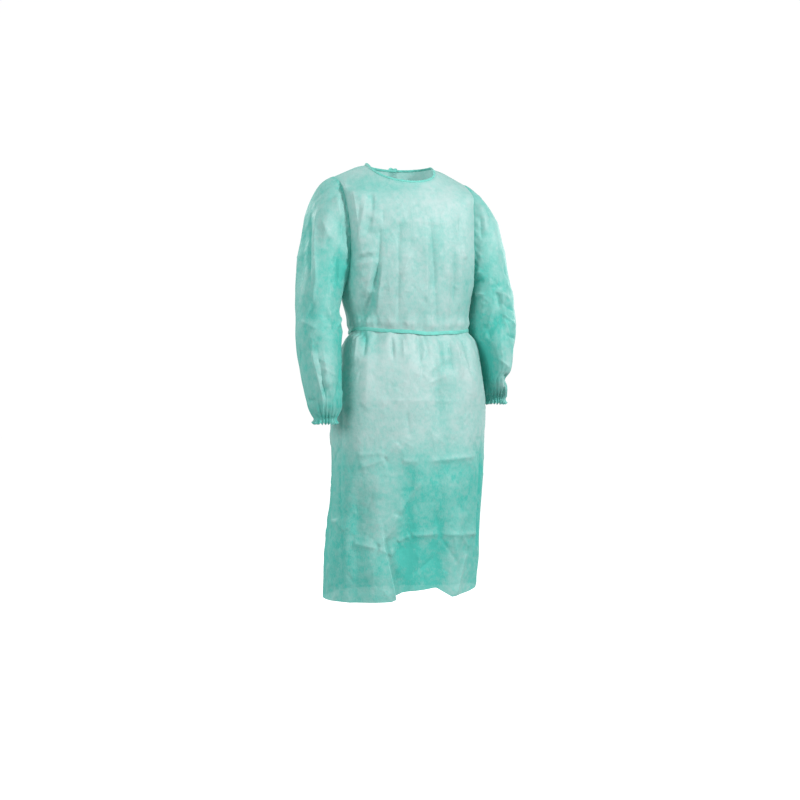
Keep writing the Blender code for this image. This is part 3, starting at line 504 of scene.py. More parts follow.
class Skin:
    """A grid of points on a cloth surface, with its outward normals and what its material reads."""

    def __init__(self, points, outward, closed=False):
        self.points, self.closed, self.flip = points, closed, False
        self.normals = self.find_normals()
        self.flip = float(np.sum(self.normals * outward)) < 0
        self.normals = self.find_normals()
        self.layers = np.ones(points.shape[:2])
        self.tone = np.zeros(points.shape[:2])

    def find_normals(self):
        points = self.points
        if self.closed:
            around = np.roll(points, -1, axis=1) - np.roll(points, 1, axis=1)
        else:
            around = np.gradient(points, axis=1)
        normals = unit(np.cross(np.gradient(points, axis=0), around))
        return -normals if self.flip else normals

    def move_out(self, height):
        self.points = self.points + self.normals * height[..., None]
        self.normals = self.find_normals()

    def add(self, name, slot, material, replaced, rows=slice(None)):
        """The mesh object of the grid's rows."""
        points = self.points[rows]
        count, columns = points.shape[:2]
        index = np.arange(count * columns).reshape(count, columns)
        if self.closed:
            index = np.concatenate([index, index[:, :1]], axis=1)
        corners = [index[:-1, :-1], index[1:, :-1], index[1:, 1:], index[:-1, 1:]]
        if self.flip:
            corners.reverse()
        faces = np.stack(corners, -1).reshape(-1, 4)
        mesh = bpy.data.meshes.new(name)
        mesh.from_pydata(points.reshape(-1, 3).tolist(), [], faces.tolist())
        for key, values in (("layers", self.layers[rows]), ("tone", self.tone[rows])):
            mesh.attributes.new(key, "FLOAT", "POINT").data.foreach_set("value", values.ravel())
        return finish_piece(mesh, name, material, replaced)


def finish_piece(mesh, name, material, replaced):
    """Smooths a mesh, gives it its material and makes it a piece that stands for its solids."""
    mesh.shade_smooth()
    mesh.materials.append(material)
    piece = bpy.data.objects.new(name, mesh)
    bpy.context.scene.collection.objects.link(piece)
    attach(piece, "root")
    if replaced:
        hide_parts(*replaced)
    return piece


def arc(s, centre, half_width, end_y, middle_y, end_z, middle_z):
    """A section from one side (s = -1) through the middle (0) to the other side (1)."""
    turn = s * math.pi / 2
    rise = np.abs(np.cos(turn)) ** SECTION_ROUNDNESS
    x = centre + half_width * np.sin(turn)
    return np.stack([x, end_y + (middle_y - end_y) * rise, end_z + (middle_z - end_z) * rise], -1)


def top_line(s, middle_y, middle_z):
    """The shoulder seams, and between them the neckline."""
    side = np.sign(s)
    inward = np.clip((1 - np.abs(s)) / (1 - NECK_SHARE), 0, 1)[:, None]
    tip = np.stack([side * SHOULDER_TIP_X, 0 * s + SHOULDER_TIP_Y, 0 * s + SHOULDER_TIP_Z], -1)
    neck = np.stack([side * NECK_HALF_WIDTH, 0 * s + NECK_POINT_Y, 0 * s + NECK_POINT_Z], -1)
    seam = tip + (neck - tip) * inward
    inside = np.clip(s / NECK_SHARE, -1, 1)
    opening = arc(inside, 0.0, NECK_HALF_WIDTH, NECK_POINT_Y, middle_y, NECK_POINT_Z, middle_z)
    return np.where((np.abs(s) >= NECK_SHARE)[:, None], seam, opening)


def body_columns(positions, is_front):
    """The rows of points from the hem up. positions gives the columns' s for a height and a half width."""
    sections, stations = [], []
    for ring in RINGS:
        s = positions(ring.z, ring.half_width)
        depth = ring.front if is_front else ring.back
        sections.append(arc(s, ring.centre, ring.half_width, ring.side, depth, ring.z, ring.z))
        stations.append(ring.z)
    for yoke in YOKES:
        s = positions(yoke.station, yoke.half_width)
        depth = yoke.front if is_front else yoke.back
        end = yoke.front_end if is_front else yoke.back_end
        height = yoke.front_z if is_front else yoke.back_z
        sections.append(arc(s, yoke.centre, yoke.half_width, end, depth, yoke.end_z, height))
        stations.append(yoke.station)
    s = positions(TOP_STATION, NECK_HALF_WIDTH / NECK_SHARE)
    if is_front:
        sections.append(top_line(s, NECK_FRONT_Y, NECK_FRONT_Z))
    else:
        sections.append(top_line(s, NECK_BACK_Y, NECK_BACK_Z))
    stations.append(TOP_STATION)
    points = loft(sections, stations, ROWS)
    rings = len(RINGS)
    below = loft(sections[:rings], stations[:rings], ROWS[: ARMPIT_ROW + 1])
    on_side_seam = np.abs(s) > 1 - 1e-9
    points[: ARMPIT_ROW + 1, on_side_seam] = below[:, on_side_seam]
    lean = smooth((points[..., 2] - ARMPIT_Z) / abs(ARMPIT_Z))
    points[..., 2] -= SHOULDER_LEAN * points[..., 0] * lean
    return points


def line_places(fold, across, along):
    """How far along a fold's line each point lies (0 to 1) and how far to its side."""
    start_across, start_along, end_across, end_along = fold[:4]
    run_across, run_along = end_across - start_across, end_along - start_along
    length = math.hypot(run_across, run_along)
    beside, beyond = across - start_across, along - start_along
    t = (beside * run_across + beyond * run_along) / length**2
    return t, (beside * run_along - beyond * run_across) / length


def fold_height(folds, across, along):
    """The sum of the soft folds' heights. Each follows a straight line and fades at both ends."""
    total = np.zeros_like(across)
    for fold in folds:
        t, off = line_places(fold, across, along)
        # narrow folds are crisper and stand out more than the solid's own broad ones
        breadth = smooth((fold.half - 0.005) / 0.010)
        crest = np.exp(-((np.abs(off) / fold.half) ** (1.0 + 0.5 * breadth)))
        strength = NARROW_STRENGTH + (BROAD_STRENGTH - NARROW_STRENGTH) * breadth
        total += strength * fold.depth * crest * smooth(np.minimum(t, 1 - t) * 3)
    return total


def crease_height(creases, across, along):
    """The sum of the crisp creases' heights. Each is a line where two slopes meet."""
    total = np.zeros_like(across)
    for crease in creases:
        t, off = line_places(crease, across, along)
        ends = smooth(np.minimum(t, 1 - t) * 6)
        total += CREASE_STRENGTH * crease.depth * np.exp(-np.abs(off) / crease.half) * ends
    return total


Crumple = namedtuple("Crumple", "count shortest longest half depth upright")


def crumple_height(crumple, seed, across, along):
    """Many short crisp creases at seeded places, as thin cloth keeps after it was packed flat."""
    rng = np.random.default_rng(seed)
    low, high = (across.min(), along.min()), (across.max(), along.max())
    total = np.zeros_like(across)
    row_low, row_high = along.min(axis=1), along.max(axis=1)
    for _ in range(crumple.count):
        x, z = rng.uniform(low, high)
        angle = rng.normal(math.pi / 2, crumple.upright)
        length = rng.uniform(crumple.shortest, crumple.longest)
        half = crumple.half * rng.uniform(0.6, 1.5)
        depth = crumple.depth * np.clip(rng.normal(), -1.3, 1.5)
        run_x, run_z = length / 2 * math.cos(angle), length / 2 * math.sin(angle)
        reach = abs(run_z) + 3 * half
        rows = np.flatnonzero((row_high > z - reach) & (row_low < z + reach))
        if len(rows) == 0:
            continue
        band = slice(rows[0], rows[-1] + 1)
        line = Fold(x - run_x, z - run_z, x + run_x, z + run_z, half, depth)
        t, off = line_places(line, across[band], along[band])
        total[band] += depth * np.exp(-np.abs(off) / half) * smooth(np.minimum(t, 1 - t) * 3)
    return total


BODY_CRUMPLES = table(
    Crumple,
    (170, 0.040, 0.130, 0.0070, 0.0020, 0.55),
    (520, 0.012, 0.045, 0.0036, 0.0010, 0.9),
)
SLEEVE_CRUMPLES = table(
    Crumple,
    (110, 0.030, 0.090, 0.0065, 0.0024, 0.6),
    (320, 0.010, 0.035, 0.0034, 0.0011, 0.9),
)


# Layers of noise that are added up: how strong, the spacing of their bumps, and the seed
CLOUDS = ((0.06, 0.045, 21), (0.11, 0.014, 22), (0.13, 0.0075, 23))
DRIFT = ((0.0030, (0.070, 0.070, 0.130), 11), (0.0018, (0.034, 0.034, 0.060), 12))


def added_noise(points, layers):
    return sum(strength * lattice_noise(points, size, seed) for strength, size, seed in layers)


def mottle(points):
    """Clouds of denser and thinner fibre."""
    return added_noise(points, CLOUDS)


def drift_height(points):
    """The cloth's broad soft unevenness, the same on both sides of every seam."""
    return added_noise(points, DRIFT)


def gather_height(turn, z):
    """The gathers that the tie makes, uneven round the waist and flat under the tie itself."""
    above = z - TIE_Z
    reach = np.where(above > 0, GATHER_REACH_UP, GATHER_REACH_DOWN)
    pressed = 1 - TIE_PRESS * np.exp(-((above / TIE_PRESS_HALF) ** 2))
    uneven = 1 - GATHER_UNEVENNESS * (1 - np.cos(2 * np.pi * (3 * turn + 0.2)))
    wave = -np.cos(2 * np.pi * WAIST_GATHERS * turn + GATHER_DRIFT * np.sin(4 * np.pi * turn))
    large = GATHER_DEPTH * wave * uneven * np.exp(-((above / reach) ** 2))
    ripple = np.cos(2 * np.pi * FINE_GATHERS * turn + 2.1 * np.sin(2 * np.pi * 5 * turn))
    small = FINE_GATHER_DEPTH * ripple * np.exp(-np.abs(above) / FINE_GATHER_REACH)
    blouse = BLOUSE_HEIGHT * np.exp(-(((z - BLOUSE_Z) / BLOUSE_HALF) ** 2))
    return (large + small) * pressed + blouse


def raise_hem(points, share):
    """Gives the hem its uneven height, where share is 1."""
    x, z = points[..., 0], points[..., 2]
    points[..., 2] += follow(x, HEM_POINTS) * share * smooth((HEM_Z + HEM_RISE_REACH - z) / HEM_RISE_REACH)


def push_out_hem(points):
    """Pushes the front's hem out at the near side, up to the fold where it turns back."""
    x, z = points[..., 0], points[..., 2]
    down = smooth((STEP_TOP_Z - z) / (STEP_TOP_Z - HEM_Z))
    edge = STEP_TOP_X + (STEP_HEM_X - STEP_TOP_X) * (STEP_TOP_Z - z) / (STEP_TOP_Z - HEM_Z)
    inside = smooth((edge - x) / STEP_SHARPNESS + 0.5) * (1 - smooth((edge - x) / STEP_REACH))
    points[..., 1] -= STEP_DEPTH * down * inside


def sag(points, share):
    """Lowers the waist's rows with the tie that draws them in."""
    x, above = points[..., 0], points[..., 2] - TIE_Z
    points[..., 2] -= follow(x, TIE_SAG) * share * np.exp(-((above / SAG_REACH) ** 2))


def hold_edges(s, z):
    """Keeps folds off the armholes, and off the shoulder seams and the neckline."""
    near_armhole = smooth((1 - np.abs(s)) / SIDE_FADE)
    above_armpit = smooth((z - ARMPIT_Z) / 0.02 + 1)
    below_top = smooth((TOP_STATION - ROWS) / 0.03)[:, None]
    return (1 - above_armpit * (1 - near_armhole)) * below_top


def arc_lengths(points, middle):
    """Each point's distance along its row from a middle column."""
    steps = np.linalg.norm(np.diff(points, axis=1), axis=-1)
    along = np.concatenate([np.zeros((len(points), 1)), np.cumsum(steps, axis=1)], axis=1)
    return along - along[:, middle : middle + 1]


def front_positions(z, half_width):
    count = SHOULDER_COLUMNS + NECK_COLUMNS
    return np.arange(-count, count + 1) / count


def back_positions(z, half_width):
    """A back panel's columns from its side seam (1) to the centre back (0) and its free edge."""
    main = 1 - np.arange(CENTRE_BACK + 1) / CENTRE_BACK
    drop = smooth((TOP_STATION - z) / (TOP_STATION - HEM_Z))
    overlap = OVERLAP_NECK + (OVERLAP_HEM - OVERLAP_NECK) * drop
    steps = np.arange(1, OVERLAP_COLUMNS + 1) / OVERLAP_COLUMNS
    return np.concatenate([main, -np.arcsin(steps * overlap / half_width) * 2 / math.pi])


def in_allowance(distance):
    """1 on a seam's allowance and 0 past it."""
    return 1 - smooth((distance - SEAM_ALLOWANCE) / SEAM_SOFTNESS + 1)


def mark_seams(skin, edges):
    """Doubles the cloth at the seam allowances beside the given columns and along the top row."""
    points = skin.points
    for column in edges:
        near = np.linalg.norm(points - points[:, column][:, None], axis=-1)
        skin.layers += in_allowance(near)
    skin.layers += in_allowance(np.linalg.norm(points - points[-1:], axis=-1))
    skin.layers = np.minimum(skin.layers, 2.0)


# Painted light and shade: the sum of the patches' paler and deeper tone
def painted_light_and_shade(patches, across, along):
    total = np.zeros_like(across)
    for patch in patches:
        offset = ((across - patch.x) / patch.half_x) ** 2 + ((along - patch.z) / patch.half_z) ** 2
        total += patch.tone * np.exp(-offset)
    return total


def fold_highlight_and_shade(height):
    """Painted highlight and shade: ridges are painted paler, as if they catch the light, and troughs deeper,
    as if in shade.
    """
    return FOLD_HIGHLIGHT_AND_SHADE * np.clip(height / FOLD_FULL, -1.2, 1.2)


def dress(skin, s, folds, creases, patches, gathers, seed):
    """Gives a body panel its folds, gathers, creases and crumples."""
    points = skin.points
    x, z = points[..., 0], points[..., 2]
    across = arc_lengths(points, int(np.argmin(abs(s[0]))))
    hold = hold_edges(s, z)
    height = fold_height(folds, x, z) + crease_height(creases, x, z)
    for k, crumple in enumerate(BODY_CRUMPLES):
        height += crumple_height(crumple, seed + k, across, z)
    pressed = 1 - FOLD_PRESS * np.exp(-(((z - TIE_Z) / TIE_PRESS_HALF) ** 2))
    height = (height * smooth((1 - np.abs(s)) / SIDE_FADE) * pressed + gathers) * hold
    skin.tone = smooth((z - PALE_FROM) / (PALE_TO - PALE_FROM)) * PALE_RISE
    # The tone gets painted light and shade from the patches and the folds, and the fibre's own mottle
    skin.tone += painted_light_and_shade(patches, x, z) + fold_highlight_and_shade(height) + mottle(points)
    skin.move_out(height + drift_height(points) * hold)


def make_front():
    points = body_columns(front_positions, True)
    skin = Skin(points, np.array([0.0, -1.0, 0.0]))
    s = np.tile(front_positions(0, 1), (len(ROWS), 1))
    dress(skin, s, FRONT_FOLDS, FRONT_CREASES, FRONT_LIGHT_AND_SHADE, gather_height(s / 4, points[..., 2]), 31)
    push_out_hem(skin.points)
    raise_hem(skin.points, 1.0)
    sag(skin.points, 1.0)
    skin.normals = skin.find_normals()
    return skin


def make_back(side, lift, seed):
    """One back panel, from its side seam to a free edge past the centre back."""
    points = body_columns(lambda z, half_width: side * back_positions(z, half_width), False)
    skin = Skin(points, np.array([0.0, 1.0, 0.0]))
    s = np.stack([back_positions(z, RINGS[0].half_width) for z in ROWS])
    apart = lift * smooth((NECK_SHARE - s) / (NECK_SHARE / 2))
    gathers = gather_height(0.5 - side * s / 4, points[..., 2])
    dress(skin, s, BACK_FOLDS, BACK_CREASES, BACK_LIGHT_AND_SHADE, gathers, seed)
    skin.move_out(apart)
    raise_hem(skin.points, smooth((s - 0.3) / 0.7))
    # s is 1 at the side seam, so the rows move at the centre back and not at the side seams, where
    # the front's do: the waist has a step there
    sag(skin.points, 1 - smooth((s - 0.2) / 0.75))
    skin.normals = skin.find_normals()
    return skin


def join_seams(front, left, right):
    """Brings the side seams and the shoulder seams of the panels together."""
    up_side = slice(0, ARMPIT_ROW + 1)
    for column, back in ((-1, left), (0, right)):
        middle = (front.points[up_side, column] + back.points[up_side, 0]) / 2
        front.points[up_side, column] = back.points[up_side, 0] = middle
    shoulder = np.arange(SHOULDER_COLUMNS + 1)
    for columns, back in ((-1 - shoulder, left), (shoulder, right)):
        middle = (front.points[-1, columns] + back.points[-1, shoulder]) / 2
        front.points[-1, columns] = back.points[-1, shoulder] = middle


def soften_neck_points(front, left, right):
    """Rounds the corners that the neckline has at the ends of the shoulder seams."""
    last = front.points.shape[1] - 1 - SHOULDER_COLUMNS
    corners = (
        (left, SHOULDER_COLUMNS),
        (front, last),
        (front, SHOULDER_COLUMNS),
        (right, SHOULDER_COLUMNS),
    )
    runs = neck_runs(front, left, right)
    line = np.stack([skin.points[-1, j] for skin, j in runs])
    moves = blur(line, round(1.2 * DETAIL**2)) - line
    top_moves = {id(skin): np.zeros_like(skin.points[-1]) for skin in (front, left, right)}
    for (skin, j), move in zip(runs, moves):
        top_moves[id(skin)][j] = move
    for skin, corner in corners:
        corner_move = top_moves[id(skin)][corner]
        if skin is not front:
            corner_move = top_moves[id(front)][last if skin is left else SHOULDER_COLUMNS]
            top_moves[id(skin)][corner] = corner_move
        seam = slice(0, corner) if corner == SHOULDER_COLUMNS else slice(corner + 1, None)
        away = np.linalg.norm(skin.points[-1, seam] - skin.points[-1, corner], axis=-1)
        top_moves[id(skin)][seam] = corner_move * np.exp(-((away / NECK_EASE) ** 2))[:, None]
    for skin in (front, left, right):
        below = np.linalg.norm(skin.points - skin.points[-1:], axis=-1)
        skin.points = skin.points + top_moves[id(skin)] * np.exp(-((below / NECK_EASE) ** 2))[..., None]
        skin.normals = skin.find_normals()


def oval_points(oval, side, count):
    """A level oval, counted from its outer side through its front, inner side and back."""
    turn = 2 * math.pi * np.arange(count) / count
    x = oval.x + side * oval.half_x * np.cos(turn)
    y = oval.y - oval.half_y * np.sin(turn)
    return np.stack([x, y, np.full(count, oval.z)], -1)


def armhole_points(front, back, side):
    """The armhole from the shoulder tip down the front to the armpit, then up the back."""
    rows = np.arange(len(ROWS) - 1, ARMPIT_ROW - 1, -1)
    down = front.points[rows, -1 if side > 0 else 0]
    up = back.points[rows[::-1], 0]
    return np.concatenate([down, up[1:-1]])


def make_sleeve(ovals, side, front, back, own_folds, seed):
    """A sleeve and its gathered wrist as one skin. Returns it and the row where the casing starts."""
    start = armhole_points(front, back, side)
    count = len(start)
    turn = 2 * math.pi * np.arange(count) / count
    end = oval_points(ovals[0], side, count)
    reach = np.linalg.norm(end - start, axis=1, keepdims=True)
    lift = CAP_TIP_LIFT * np.cos(turn)
    leave = np.stack([side * (CAP_OUT + lift), -CAP_FORWARD * np.sin(turn), lift - CAP_DOWN], -1)
    path = np.array([[oval.x, oval.y, oval.z] for oval in ovals[:2]])
    arrive = unit(path[1] - path[0]) * reach
    leave = unit(leave) * reach * CAP_FULLNESS
    cap_steps = np.linspace(0, 1, round(CAP_LENGTH / ROW_PITCH) + 1)
    rows = [cubic(t, start, leave, end, arrive) for t in cap_steps]
    heights = np.array([-oval.z for oval in ovals])
    rings = [oval_points(oval, side, count) for oval in ovals]
    lower_rows = round((heights[-1] - heights[0]) / ROW_PITCH * FINER_BELOW_CAP)
    targets = np.linspace(heights[0], heights[-1], lower_rows + 1)[1:]
    cuff = []
    for drop in np.linspace(0, 1, CUFF_ROWS + 1)[1:]:
        pinch = 1 - CUFF_PINCH * math.sin(math.pi * drop) + CUFF_FLARE * drop
        last = ovals[-1]
        ring = Oval(last.z - CUFF_LENGTH * drop, last.x, last.y, last.half_x * pinch, last.half_y * pinch)
        cuff.append(oval_points(ring, side, count))
    points = np.concatenate([np.stack(rows), loft(rings, heights, targets), np.stack(cuff)])
    cuff_row = len(points) - 1 - CUFF_ROWS
    skin = Skin(points, points - points.mean(axis=1, keepdims=True), closed=True)

    place = np.tile(turn / (2 * math.pi), (len(points), 1))
    across, z = place * SLEEVE_GIRTH, points[..., 2]
    folds = [
        Fold(f.turn0 * SLEEVE_GIRTH, f.z0, f.turn1 * SLEEVE_GIRTH, f.z1, f.half, f.depth)
        for f in SHARED_SLEEVE_FOLDS + own_folds
    ]
    height = np.zeros(points.shape[:2])
    for whole_turn in (-1, 0, 1):
        height += fold_height(folds, across + whole_turn * SLEEVE_GIRTH, z)
    # crumples stop short of the line where the turn starts again
    open_ring = smooth(np.minimum(place, 1 - place) / 0.04)
    for k, crumple in enumerate(SLEEVE_CRUMPLES):
        height += crumple_height(crumple, seed + k, across, z) * open_ring
    from_armhole = np.linalg.norm(points - points[:1], axis=-1)
    height += drift_height(points)
    above_cuff = np.maximum(z - ovals[-1].z, 0)
    height *= smooth(from_armhole / 0.03) * smooth(above_cuff / 0.02)
    skin.tone = smooth((z - SLEEVE_PALE_FROM) / SLEEVE_PALE_OVER) * SLEEVE_PALE_RISE
    # The tone gets painted light and shade from the patches and the folds, and the fibre's own mottle
    skin.tone += painted_light_and_shade(SLEEVE_LIGHT_AND_SHADE, place, z)
    skin.tone += fold_highlight_and_shade(height) + mottle(points)
    pucker = np.cos(2 * np.pi * PUCKERS * place + 1.7 * np.sin(2 * np.pi * 3 * place))
    height += PUCKER_DEPTH * pucker * np.exp(-from_armhole / PUCKER_REACH) * smooth(from_armhole / 0.006)
    height += wrist_height(place, z, ovals[-1].z)
    skin.move_out(height)
    skin.layers += in_allowance(np.linalg.norm(skin.points - skin.points[:1], axis=-1))
    skin.layers[cuff_row:] = CASING_LAYERS
    return skin, cuff_row


def wrist_height(place, z, wrist_z):
    """The gathers that the elastic makes: deepest in the casing and spreading up the sleeve."""
    wave = np.cos(2 * np.pi * WRIST_GATHERS * place + 1.3 * np.sin(2 * np.pi * 4 * place))
    uneven = 0.75 + 0.25 * np.cos(2 * np.pi * (3 * place + 0.35))
    fine = 0.35 * np.cos(2 * np.pi * (2 * WRIST_GATHERS + 7) * place + 0.8)
    above = np.maximum(z - wrist_z, 0)
    below = np.clip((wrist_z - z) / CUFF_LENGTH, 0, 1)
    casing = 1 - 0.35 * np.sin(np.pi * below) + 0.45 * below**2
    return WRIST_DEPTH * (wave * uneven + fine - 0.6) * np.exp(-above / WRIST_REACH) * casing


def tube(name, centres, frames, profile, material, replaced, closed=False):
    """A solid strip or cord: profile (points across and out) carried along centres, an open one's ends closed
    flat.
    """
    sideways, outward = frames
    count, corners = len(centres), len(profile)
    rings = (
        centres[:, None]
        + sideways[:, None] * profile[None, :, :1]
        + outward[:, None] * profile[None, :, 1:]
    )
    index = np.arange(count * corners).reshape(count, corners)
    around = np.roll(index, -1, axis=1)
    if closed:
        index, around = np.concatenate([index, index[:1]]), np.concatenate([around, around[:1]])
    faces = np.stack([index[:-1], index[1:], around[1:], around[:-1]], -1).reshape(-1, 4).tolist()
    if not closed:
        faces += [index[0].tolist(), index[-1][::-1].tolist()]
    mesh = bpy.data.meshes.new(name)
    mesh.from_pydata(rings.reshape(-1, 3).tolist(), [], faces)
    mesh.validate()
    if signed_volume(mesh) < 0:
        mesh.flip_normals()
    return finish_piece(mesh, name, material, replaced)


def signed_volume(mesh):
    mesh.calc_loop_triangles()
    points = np.array([vertex.co for vertex in mesh.vertices])
    a, b, c = (points[[t.vertices[k] for t in mesh.loop_triangles]] for k in range(3))
    return float(np.sum(a * np.cross(b, c)) / 6)


def rounded_strip(width, thickness, points=12):
    """A strip's section: flat, with rounded edges. Across first, then out."""
    turn = 2 * math.pi * np.arange(points) / points
    across = np.sign(np.cos(turn)) * np.abs(np.cos(turn)) ** 0.6 * width / 2
    out = np.sign(np.sin(turn)) * np.abs(np.sin(turn)) ** 0.6 * thickness / 2
    return np.stack([across, out], -1)


def resample(line, others, pitch):
    """A line and the arrays that go with it, at an even pitch."""
    along = np.concatenate([[0], np.cumsum(np.linalg.norm(np.diff(line, axis=0), axis=1))])
    targets = np.linspace(0, along[-1], max(2, round(along[-1] / pitch)) + 1)
    take = lambda array: np.stack([np.interp(targets, along, array[:, k]) for k in range(3)], -1)
    return take(line), [unit(take(other)) for other in others], targets


def blur(line, times):
    """A line with its small bends smoothed out. Its ends stay."""
    line = line.copy()
    for _ in range(times):
        line[1:-1] = (line[:-2] + 2 * line[1:-1] + line[2:]) / 4
    return line


def neck_runs(front, left, right):
    """The neckline's columns from the left back's free edge round the front to the right back's."""
    last = front.points.shape[1] - 1 - SHOULDER_COLUMNS
    runs = [(left, j) for j in range(left.points.shape[1] - 1, SHOULDER_COLUMNS, -1)]
    runs += [(front, j) for j in range(last, SHOULDER_COLUMNS - 1, -1)]
    return runs + [(right, j) for j in range(SHOULDER_COLUMNS + 1, right.points.shape[1])]


def neck_line(front, left, right):
    runs = neck_runs(front, left, right)
    line = np.stack([skin.points[-1, j] for skin, j in runs])
    normals = np.stack([skin.normals[-1, j] for skin, j in runs])
    return line, normals


def make_binding(front, left, right, material):
    """The folded strip that is sewn over the neckline's edge."""
    line, normals = neck_line(front, left, right)
    line, (normals,), along = resample(line, [normals], 0.0022)
    normals = unit(blur(normals, 60))
    up = unit(np.cross(normals, np.gradient(line, axis=0)))
    inward = unit(line * [-1, -1, 0]) + [0, 0, 1]
    up *= np.sign(np.sum(up * inward, axis=-1, keepdims=True))
    up = unit(up + [0, 0, BINDING_LEAN])
    out = unit(normals - up * np.sum(normals * up, axis=-1, keepdims=True))
    height = BINDING_HEIGHT + BINDING_LAP
    turns = along * 2 * np.pi
    waver = 0.0003 * np.sin(turns / 0.031) + 0.0002 * np.sin(turns / 0.0117 + 1.0)
    centres = line + up * (height / 2 - BINDING_LAP) + out * waver[:, None]
    profile = rounded_strip(height, BINDING_THICKNESS, 14)
    piece = tube("neck_binding_strip", centres, (up, out), profile, material, ["neck_binding"])
    lower = line - up * (BINDING_LAP * 0.2) + out * (BINDING_THICKNESS / 2)
    return piece, (lower, out)


def make_waist_tie(front, left, right, material):
    """The strip from the knot at the centre back round the left side, the front and the right side."""
    free_edge = left.points.shape[1] - 1
    clear_x = left.points[TIE_ROW, free_edge, 0] - 0.010
    under = [j for j in range(1, CENTRE_BACK) if right.points[TIE_ROW, j, 0] < clear_x]
    runs = [(left, j) for j in range(CENTRE_BACK, 0, -1)]
    runs += [(front, j) for j in range(front.points.shape[1] - 1, -1, -1)]
    runs += [(right, j) for j in under]
    runs += [(left, j) for j in range(free_edge, CENTRE_BACK - 1, -1)]
    line = np.stack([tie_point(skin.points[:, j]) for skin, j in runs])
    normals = np.stack([skin.normals[TIE_ROW, j] for skin, j in runs])
    line, (normals,), along = resample(line, [normals], 0.0030)
    line = blur(line, 60)
    outward = unit(line * [1, 1, 0] - [0.02, -0.012, 0])
    upward = np.tile([0.0, 0.0, 1.0], (len(line), 1))
    forward = unit(np.gradient(line, axis=0))
    outward = unit(outward - forward * np.sum(outward * forward, axis=-1, keepdims=True))
    upward = np.cross(forward, outward)
    twist = 0.10 * np.sin(along * 2 * np.pi / 0.23) + 0.05 * np.sin(along * 2 * np.pi / 0.071 + 0.6)
    across = upward * np.cos(twist)[:, None] + outward * np.sin(twist)[:, None]
    out = outward * np.cos(twist)[:, None] - upward * np.sin(twist)[:, None]
    centres = line + outward * (0.0031 + 0.0004 * np.sin(along * 2 * np.pi / 0.047))[:, None]
    centres[:, 2] += 0.0007 * np.sin(along * 2 * np.pi / 0.11)
    profile = rounded_strip(TIE_HEIGHT, 0.0022, 14)
    return tube("waist_tie_strip", centres, (across, out), profile, material, ["waist_tie"])


def tie_point(column):
    """Where the tie crosses a column: in the row that it draws in, with its sag."""
    z = column[TIE_ROW, 2] + TIE_Z - ROWS[TIE_ROW]
    return np.array([np.interp(z, column[:, 2], column[:, k]) for k in range(3)])


def down_centre_back(skin, start_z, drop):
    """A point of the centre back at a height, with its normal and its sideways direction."""
    column = skin.points[:, CENTRE_BACK]
    z = start_z - drop
    point = np.array([np.interp(z, column[:, 2], column[:, k]) for k in range(3)])
    normal = unit(np.array([np.interp(z, column[:, 2], skin.normals[:, CENTRE_BACK, k]) for k in range(3)]))
    return point, normal, unit(np.cross([0.0, 0.0, 1.0], normal))


def make_tail(name, skin, start_z, length, stand_off, side, material, replaced):
    """One loose end of a tie: a thin ribbon that hangs down the back with a little curl."""
    centres, across, out = [], [], []
    for drop in np.linspace(0, length, round(length / 0.004) + 1):
        point, normal, sideways = down_centre_back(skin, start_z, drop)
        t = drop / length
        curl = 0.5 * math.sin(5.0 * t + side) * t + 0.15 * math.sin(17 * t)
        centre = point + normal * (stand_off + 0.0028 + 0.0022 * math.sin(3.1 * t * math.pi) ** 2 * t)
        centres.append(centre + side * sideways * (TAIL_APART + TAIL_DRIFT * t + 0.001 * math.sin(9 * t)))
        across.append(sideways * math.cos(curl * 0.5) + normal * math.sin(curl * 0.5))
        out.append(normal * math.cos(curl * 0.5) - sideways * math.sin(curl * 0.5))
    frames = (np.array(across), np.array(out))
    profile = rounded_strip(TAIL_WIDTH, TAIL_THICKNESS, 16)
    profile[:, 1] += 0.0007 * np.cos(profile[:, 0] / TAIL_WIDTH * 2 * np.pi)
    return tube(name, np.array(centres), frames, profile, material, replaced)


def make_knot(name, centre, normal, size, material, replaced):
    """A tight flat knot: a strip that is wound over itself, as a trefoil pressed flat."""
    sideways = unit(np.cross([0.0, 0.0, 1.0], normal))
    up = np.cross(normal, sideways)
    turn = np.linspace(0, 2 * math.pi, 97)[:-1]
    half_width, half_depth, half_height = size
    local = np.stack(
        [
            (np.sin(turn) + 1.6 * np.sin(2 * turn)) * half_width / 2.9,
            -np.sin(3 * turn) * half_depth * 0.45,
            (np.cos(turn) - 1.6 * np.cos(2 * turn)) * half_height / 2.9,
        ],
        -1,
    )
    centres = centre + local @ np.stack([sideways, normal, up])
    forward = unit(np.roll(centres, -1, axis=0) - np.roll(centres, 1, axis=0))
    out = unit(normal - forward * np.sum(forward * normal, axis=-1, keepdims=True))
    across = np.cross(forward, out)
    profile = rounded_strip(half_height * 0.72, half_depth * 0.62, 12)
    return tube(name, centres, (across, out), profile, material, replaced, closed=True)


def tie_off(name, node, skin, point, normal, z, end, material):
    """A tie's knot on the centre back, and its two tails."""
    knot = f"{name}_knot"
    make_knot(knot, point + normal * end.knot_out, normal, KNOT_SIZE, material, [f"{node}_knot"])
    start_z = z - TAIL_BELOW_KNOT
    for side, suffix in ((1, "left"), (-1, "right")):
        tail = f"{name}_tail_{suffix}"
        replaced = [f"{node}_tail_{suffix}"]
        tail = make_tail(tail, skin, start_z, end.tail_length, end.tail_out, side, material, replaced)


